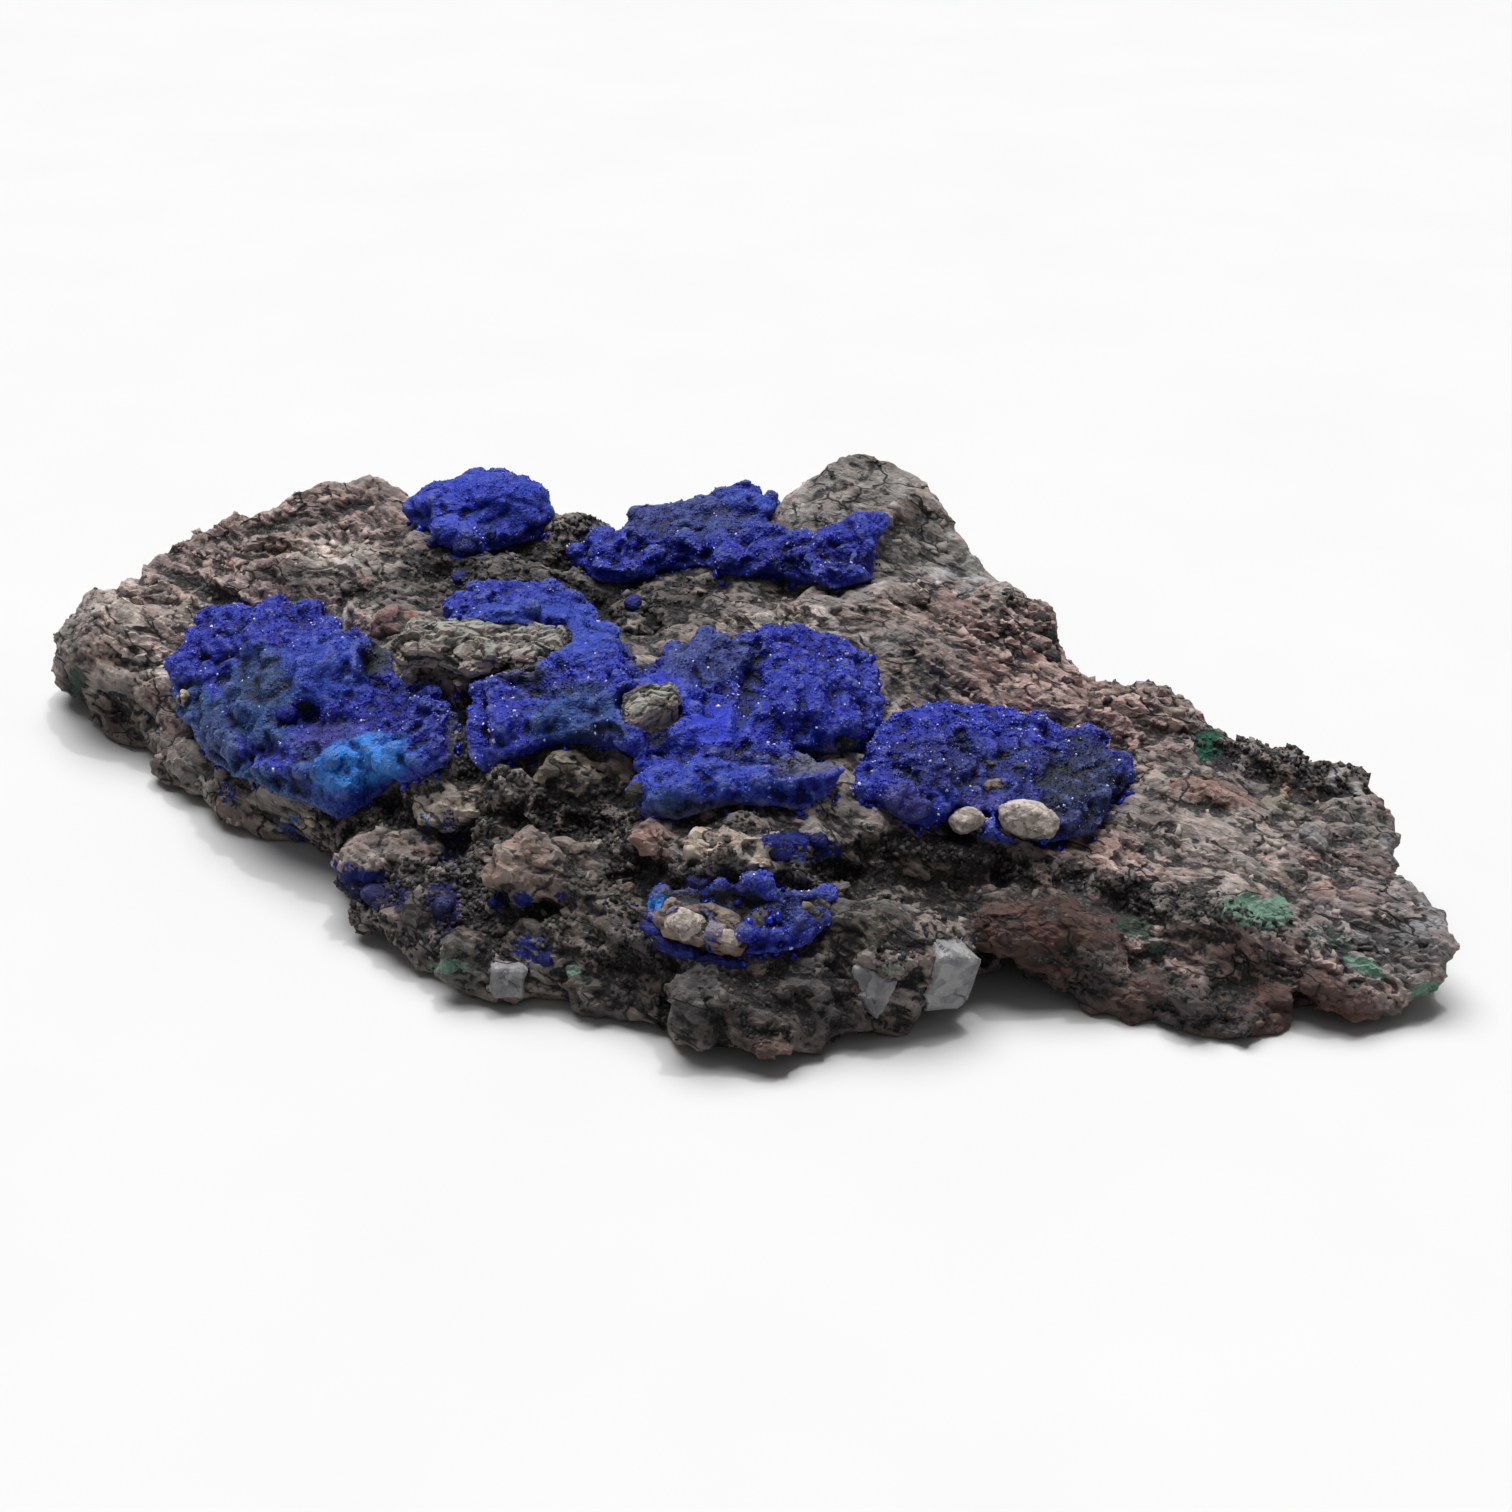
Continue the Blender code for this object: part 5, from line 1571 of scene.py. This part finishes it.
@dataclass
class Crust:
    """One crust of azurite: fused balls and lumps covered with small crystals."""

    node: str
    seed: int
    balls: int  # number of fused balls
    druse: int  # number of crystals
    coarse: float = 0.45
    voxel: float = 0.30
    swell: float = 0.35
    ball_sizes: tuple[float, float] = (0.55, 1.55)  # radius
    rim: tuple[float, float] = (0.45, 1.7)  # lowest and highest balls along the rim, above the rock
    lobe_size: float = 3.5
    lobe: float = 1.35  # height of a lobe
    lump_size: float = 1.7
    lump: float = 0.50  # height of a lump
    knob_size: float = 0.8
    knob: float = 0.20  # height of a knob
    swelling: float = 0.75  # unevenness of the whole crust
    crevice: float = 1.4  # depth of the crevices between the larger lobes
    sight: Sight = field(init=False, repr=False)
    looks: Array = field(init=False, repr=False)
    hollow: Array = field(init=False, repr=False)

    def build(self, nodes: Nodes, blue: BVHTree, rock: BVHTree) -> Surface:
        """Builds the crust's skin, with its looks kept on its points.

        Args:
            nodes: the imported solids.
            blue: the search tree of all the crusts, against which they are seen.
            rock: the search tree of the slab.

        Returns:
            The skin.
        """
        name = self.node.replace("azurite_", "azurite_skin_")
        skin = even_skin(name, nodes[self.node], self.coarse, self.swell, 3)
        skin.raise_by(self.lumps(skin, blue))
        self.fuse_balls(skin, rock)
        skin.remeshed(self.voxel, 1)
        self.lay(skin, blue)
        cells = Cells.at(skin.points, self.knob_size, seed=self.seed + 0.5)
        knobs = self.looks[:, DRUSE] * self.knob * (cells.domes() - 0.6)
        skin.raise_by(knobs + cloud(skin.points, 0.6, 2, seed=2.0) * 0.06)
        self.hollow = skin.hollowness((10, 0.10, 0.4), (60, 0.45, 0.6))
        skin.paint(tone=self.looks[:, TONE], hollow=self.hollow, soot=self.looks[:, BLACK])
        return skin

    def lay(self, skin: Surface, blue: BVHTree) -> None:
        """Works out the looks at every point of the skin."""
        self.sight = Sight.of(skin, blue, cloud(skin.points, 2.2, 3, seed=self.seed) * 0.3)
        self.looks = blended(self.sight, CRUST_PATCHES, Blue.ULTRAMARINE)

    def lumps(self, skin: Surface, blue: BVHTree) -> Array:
        """Heights of the lobes and lumps, which die out on the underside."""
        self.lay(skin, blue)
        points = skin.points
        warped = bent(points, 2.6, 0.9)
        lobes = self.lobe * (Cells.at(warped, self.lobe_size, seed=self.seed).domes() - 0.66)
        lumps = self.lump * (Cells.at(warped, self.lump_size, seed=self.seed + 0.3).domes() - 0.6)
        heights = self.looks[:, LUMPS] * (lobes + lumps)
        split = ease(cloud(points, 8.0, 2, seed=self.seed + 3.0), -0.1, 0.3)
        crack = Cells.at(warped, self.lobe_size * 1.7, seed=self.seed + 0.7)
        heights -= self.crevice * split * ease(crack.gap, 0.10, 0.0)
        heights += self.swelling * cloud(points, 7.0, 2, seed=self.seed + 5.0)
        side = ease(np.abs(skin.normals[:, 2]), 0.80, 0.40)
        heights += side * (1.2 * cloud(points, 2.8, 3, seed=self.seed + 7.0) - 0.25)
        for patch in CRUST_PATCHES:
            if patch.lift:
                heights += patch.lift * self.sight.share(patch, 0.5)
        return heights * ease(skin.normals[:, 2], -0.5, 0.1)

    def fuse_balls(self, skin: Surface, rock: BVHTree) -> None:
        """Sets balls on the top and along the rim, to be fused with the skin by its next remeshing."""
        dice = np.random.default_rng(self.seed)
        above = skin.points + skin.normals * 0.2
        height = distance_to(rock, skin.points, 3.0)
        clear, low = height > self.rim[0], height < self.rim[1]
        clustered = cloud(skin.points, 3.0, 2, seed=self.seed + 9.0) > 0.1
        useful = clear & (low | clustered) & (skin.normals[:, 2] > -0.2) & (above[:, 2] > 1.0)
        picked = dice.choice(np.flatnonzero(useful), self.balls, replace=False)
        bm = bmesh.new()
        for index in picked:
            radius = between(self.ball_sizes, dice.random() ** 1.8)
            place = Vector(skin.points[index] - skin.normals[index] * dice.uniform(-0.1, 0.45) * radius)
            shape = Matrix.Diagonal((1.0, dice.uniform(0.75, 1.1), dice.uniform(0.7, 1.0), 1.0))
            turn = Matrix.Rotation(dice.uniform(0.0, math.tau), 4, "Z")
            seat = Matrix.Translation(place * MM) @ turn @ shape
            bmesh.ops.create_icosphere(bm, subdivisions=2, radius=radius * MM, matrix=seat)
        bm.from_mesh(skin.obj.data)
        bm.to_mesh(skin.obj.data)
        bm.free()

    def crystals(self, skin: Surface) -> bpy.types.Object:
        """Grows the crust's crystals."""
        scatter = Scatter(
            name=self.node.replace("azurite_", "azurite_druse_"),
            forms=(*(Form.cut(4, *prism) for prism in PRISMS), Form.chip(3, 0.25)),
            count=self.druse,
            sizes=(0.20, 0.42),
            tall=(0.6, 1.0),
            lean=0.45,
            sink=0.55,
            seed=self.seed,
            vary=(0.65, 1.6),
        )
        deep = np.maximum(self.hollow, 0.0)
        chances = self.looks[:, DRUSE] * (1.0 - 0.6 * deep) + 0.04
        # painted shade: crystals in hollows are darker, those on ridges lighter
        shade = np.where(self.hollow > 0.0, 1.0 - 0.75 * self.hollow, 1.0 - 0.45 * self.hollow)
        spots = ease(cloud(skin.points, 2.2, 3, seed=self.seed + 20.0), 0.0, 0.7)
        # painted glints: a share of the crystals is pale, in clusters and mostly off the hollows
        glints = (0.02 + 0.40 * spots) * self.looks[:, DRUSE] ** 2 * (1.0 - deep)
        tones = self.looks[:, TONE] * shade[:, None]
        grown = scatter.grow(skin, chances * (skin.normals[:, 2] > -0.5), tones, glints)
        skin.thin_out(skin.normals[:, 2] < -0.55, 0.3)
        return grown


@dataclass
class Cobble:
    """A stone that lies on the slab, broken or rounded, with a coat in its hollows."""

    node: str
    swell: float  # how far the skin stands off the solid
    facet_size: float
    facet: float
    crumb: float  # height of its roughness
    bend: float  # unevenness of its whole shape
    voxel: float = 0.2
    groove: float = 0.0  # depth of the cracks between its facets
    ledges: float = 0.0
    smooth: int = 2
    cream: float = 0.0  # share of feldspar blocks along its front

    def build(self, nodes: Nodes, crusts: BVHTree, ground: BVHTree) -> Surface:
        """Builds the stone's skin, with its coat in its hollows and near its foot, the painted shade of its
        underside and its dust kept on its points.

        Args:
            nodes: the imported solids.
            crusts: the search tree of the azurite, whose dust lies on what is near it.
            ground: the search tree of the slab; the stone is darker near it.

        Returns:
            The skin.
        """
        skin = even_skin(self.node + "_skin", nodes[self.node], self.voxel, self.swell, self.smooth)
        points = skin.points
        pressed = layer_axes(STONE_BEDS, 2.2) if self.ledges else None
        cells = Cells.at(points, self.facet_size, pressed, seed=1.7)
        heights = cells.broken(self.facet, self.facet * 2.4, 4.0, crack=self.groove, width=0.12)
        heights += cloud(points, 0.8, 3, seed=2.0) * self.crumb + cloud(points, 4.5, 2, seed=5.0) * self.bend
        if self.ledges:
            bed = points @ np.array(STONE_BEDS) / STONE_BED + cloud(points, 4.0, 2, seed=3.0) * 0.5
            whole = np.floor(bed)
            proud = hashed(whole[:, None] * np.ones(3), 1.0) - 0.5
            heights += self.ledges * (proud - ease(bed - whole, 0.18, 0.0))
        skin.raise_by(heights)
        # painted shade: the underside is darker
        low = ease(skin.normals[:, 2], 0.1, -0.7)
        foot = ease(distance_to(ground, skin.points, 2.0), 1.5, 0.2)
        hollow = np.clip(skin.hollows(8) / 0.08, 0.0, 1.0)
        # darkening: the coat in the hollows, the foot near the slab, and the painted shade of the underside
        coat = np.clip(hollow * 0.5 + low * 0.25 + foot * 0.6, 0.0, 1.0)
        blocks = ease(-skin.normals[:, 1], 0.35, 0.65) * (hashed(cells.middle, 9.0) > 0.35)
        dust = ease(distance_to(crusts, skin.points, 2.0), 0.5, 0.0) * 0.8
        skin.paint(hollow=coat, cream=blocks * self.cream, dust=dust)
        return skin


@dataclass
class GrainBeds:
    """The loose grains of the slab: pale feldspar, dark granules, and azurite crumbs by the crusts."""

    def build(self, skin: Surface, slab: RockSlab) -> tuple[bpy.types.Object, ...]:
        """Grows all the grains.

        Args:
            skin: the slab's skin.
            slab: the slab, for its looks.

        Returns:
            The joined meshes: the pale grains, the dark granules and the azurite crumbs.
        """
        looks, count = slab.looks, len(slab.near)
        chips = [Form.chip(k, 0.45) for k in range(5)]
        above = ease(skin.points[:, 2], 0.3, 1.5)
        clear = ease(slab.near, 0.3, 1.2)
        pale = Scatter(
            "feldspar_grains", chips, count=900, sizes=(0.4, 1.4), tall=(0.35, 0.7), lean=0.3, sink=0.75,
            seed=21, vary=(0.7, 1.25),
        )
        light = pale.grow(skin, (1.05 - looks[:, SOOT]) * above * clear, looks[:, TONE])
        dark = Scatter(
            "dark_granules", chips, count=5000, sizes=(0.22, 0.75), tall=(0.5, 1.0), lean=0.6, sink=0.6,
            seed=22, vary=(0.4, 2.6),
        )
        sooty = np.maximum(looks[:, GRAIN] * looks[:, SOOT] - 0.25, 0.0)
        granules = dark.grow(skin, sooty * above * clear, rows_of(srgb(48, 45, 45), count))
        crumbs = Scatter(
            "azurite_crumbs", chips, count=2400, sizes=(0.25, 1.0), tall=(0.6, 1.1), lean=0.6, sink=0.4,
            seed=23, vary=(0.5, 1.6),
        )
        blue = rows_of(Blue.ULTRAMARINE.value.colour, count)
        spots = ease(cloud(skin.points, 3.0, 2, seed=17.0), -0.1, 0.5)
        bits = crumbs.grow(skin, ease(slab.near_blue, 1.9, 0.1) * (0.08 + spots) * above, blue)
        return light, granules, bits


# ---- Studio ------------------------------------------------------------------------------------


SENSOR = 36.0  # width of the camera's sensor


@dataclass(frozen=True)
class Studio:
    """A white table under a soft light from above and a little behind."""

    key: float = 4.3
    key_spread: float = 50.0  # degrees across
    key_from: tuple[float, float, float] = (-0.15, 0.35, 1.0)
    spark: float = 0.8
    spark_spread: float = 3.0
    spark_from: tuple[float, float, float] = (0.15, 0.25, 1.0)
    sky: tuple[float, float] = (0.13, 0.24)  # its brightness at the horizon and overhead
    floor_size: float = 24.0

    def build(self) -> None:
        """Builds the table, the lights and the camera."""
        scene = bpy.context.scene
        scene.view_settings.view_transform = "Standard"
        world = bpy.data.worlds.new("studio")
        world.use_nodes = True
        nodes, link = world.node_tree.nodes, world.node_tree.links.new
        background = nodes["Background"]
        background.inputs["Color"].default_value = (1.0, 1.0, 1.0, 1.0)
        place = nodes.new("ShaderNodeTexCoord")
        split = nodes.new("ShaderNodeSeparateXYZ")
        fade = nodes.new("ShaderNodeMapRange")
        fade.inputs["To Min"].default_value, fade.inputs["To Max"].default_value = self.sky
        link(place.outputs["Generated"], split.inputs[0])
        link(split.outputs["Z"], fade.inputs["Value"])
        link(fade.outputs["Result"], background.inputs["Strength"])
        scene.world = world
        self.lamp("key", self.key, self.key_spread, self.key_from)
        self.lamp("spark", self.spark, self.spark_spread, self.spark_from)
        self.table()
        self.camera()

    def lamp(self, name: str, power: float, spread: float, source: Sequence[float]) -> None:
        """A far lamp that shines from a direction."""
        lamp = bpy.data.lights.new(name, "SUN")
        lamp.energy = power
        lamp.angle = math.radians(spread)
        obj = bpy.data.objects.new(name, lamp)
        obj.rotation_euler = Vector(source).to_track_quat("Z", "Y").to_euler()
        bpy.context.scene.collection.objects.link(obj)

    def table(self) -> None:
        """The table's top."""
        bm = bmesh.new()
        bmesh.ops.create_grid(bm, x_segments=4, y_segments=4, size=self.floor_size / 2)
        table = bmesh_object("table", bm)
        b = Bench("white_card")
        tone = b.mix(b.noise(40.0, 2), (0.69, 0.69, 0.69), (0.71, 0.71, 0.71))
        table.data.materials.append(b.finish(tone, 0.9, 0.1))

    def camera(self) -> None:
        """The camera at the front view."""
        scene = bpy.context.scene
        data = bpy.data.cameras.new("front")
        data.sensor_width = SENSOR
        data.lens = SENSOR * VIEW.distance() / VIEW.width
        data.clip_start = 0.01
        obj = bpy.data.objects.new("front", data)
        obj.location = Vector(VIEW.eye) * MM
        ahead = Vector(VIEW.aim) - Vector(VIEW.eye)
        obj.rotation_euler = ahead.to_track_quat("-Z", "Y").to_euler()
        scene.collection.objects.link(obj)
        scene.camera = obj


# ---- The whole specimen ------------------------------------------------------------------------


def dress_crusts(nodes: Nodes, crystal: bpy.types.Material, finish: bpy.types.Material) -> list[Surface]:
    """Builds and dresses the crusts.

    Args:
        nodes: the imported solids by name.
        crystal: the crystals' material.
        finish: the crusts' material.

    Returns:
        Their skins.
    """
    blue, ground = named(nodes, CRUSTS), named(nodes, ["matrix"])
    skins = []
    for seed, (name, (balls, druse)) in enumerate(CRUSTS.items(), 1):
        crust = Crust(name, seed, balls, druse)
        skin = crust.build(nodes, blue, ground)
        crystals = crust.crystals(skin)
        skins.append(skin)
        settle(skin.obj, finish, "azurite", name)
        settle(crystals, crystal, "azurite")
    return skins


LAYERED = {"voxel": 0.22, "groove": 0.24, "ledges": 0.34, "smooth": 1, "cream": 0.85}


def dress_stones(nodes: Nodes) -> None:
    """Builds and dresses the stones that are solids of their own.

    Args:
        nodes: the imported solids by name.
    """
    kinds = (
        (
            "pebble",
            StoneFinish("cream_feldspar", srgb(206, 193, 184), srgb(150, 138, 130), grain=1.2, rough=0.7),
            {
                name: Cobble(name, swell, 4.4, 0.14, crumb=0.12, bend=0.4)
                for name, swell in ROUND_STONES.items()
            },
        ),
        (
            "banded",
            StoneFinish("banded", srgb(158, 155, 147), srgb(32, 32, 32), 0.8, 0.7, band=0.85, band_size=0.55),
            {name: Cobble(name, 0.0, 2.6, 0.20, crumb=0.08, bend=0.9, **LAYERED) for name in BANDED_STONES},
        ),
        (
            "quartz",
            StoneFinish("quartz", srgb(166, 165, 167), srgb(120, 120, 123), grain=2.2, rough=0.35),
            {name: Cobble(name, -0.35, 4.6, 0.16, crumb=0.04, bend=0.12, smooth=0) for name in QUARTZ_STONES},
        ),
    )
    blue, ground = named(nodes, CRUSTS), named(nodes, ["matrix"])
    for slot, finish, stones in kinds:
        material = finish.material()
        for name, stone in stones.items():
            settle(stone.build(nodes, blue, ground).obj, material, slot, name)


def build_specimen(nodes: Nodes) -> None:
    """Builds and dresses every piece.

    Args:
        nodes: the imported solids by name.
    """
    slab = RockSlab()
    rock = slab.build(nodes)
    grain = GrainFinish("grains", rough=0.75, specular=0.3).material()
    crystal = GrainFinish("azurite_crystals", rough=0.17, specular=0.35, depth=0.01).material()
    light, granules, crumbs = GrainBeds().build(rock, slab)
    slab.flatten_base(rock)
    arkose, druse = RockFinish().material(), CrustFinish().material()
    settle(rock.obj, arkose, "matrix", "matrix")
    settle(light, grain, "matrix")
    settle(granules, grain, "matrix")
    settle(crumbs, crystal, "azurite")

    skins = [rock, *dress_crusts(nodes, crystal, druse)]
    seen = tree_of(skin.obj for skin in skins)
    settle(Nuggets("set_stones", SET_STONES, 0.38, square=3.2).build(seen).obj, arkose, "matrix")
    settle(Nuggets("dark_balls", DARK_BALLS, 0.45, facet=0.08).build(seen).obj, arkose, "matrix")
    settle(Nuggets("azurite_balls", BLUE_BALLS, 0.10, facet=0.12).build(seen).obj, druse, "azurite")
    dress_stones(nodes)


def main() -> None:
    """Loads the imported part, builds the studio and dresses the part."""
    logging.basicConfig(level=logging.INFO, format="%(name)s %(message)s")
    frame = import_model()
    Studio().build()
    build_specimen(frame["nodes"])


if __name__ == "__main__":
    main()
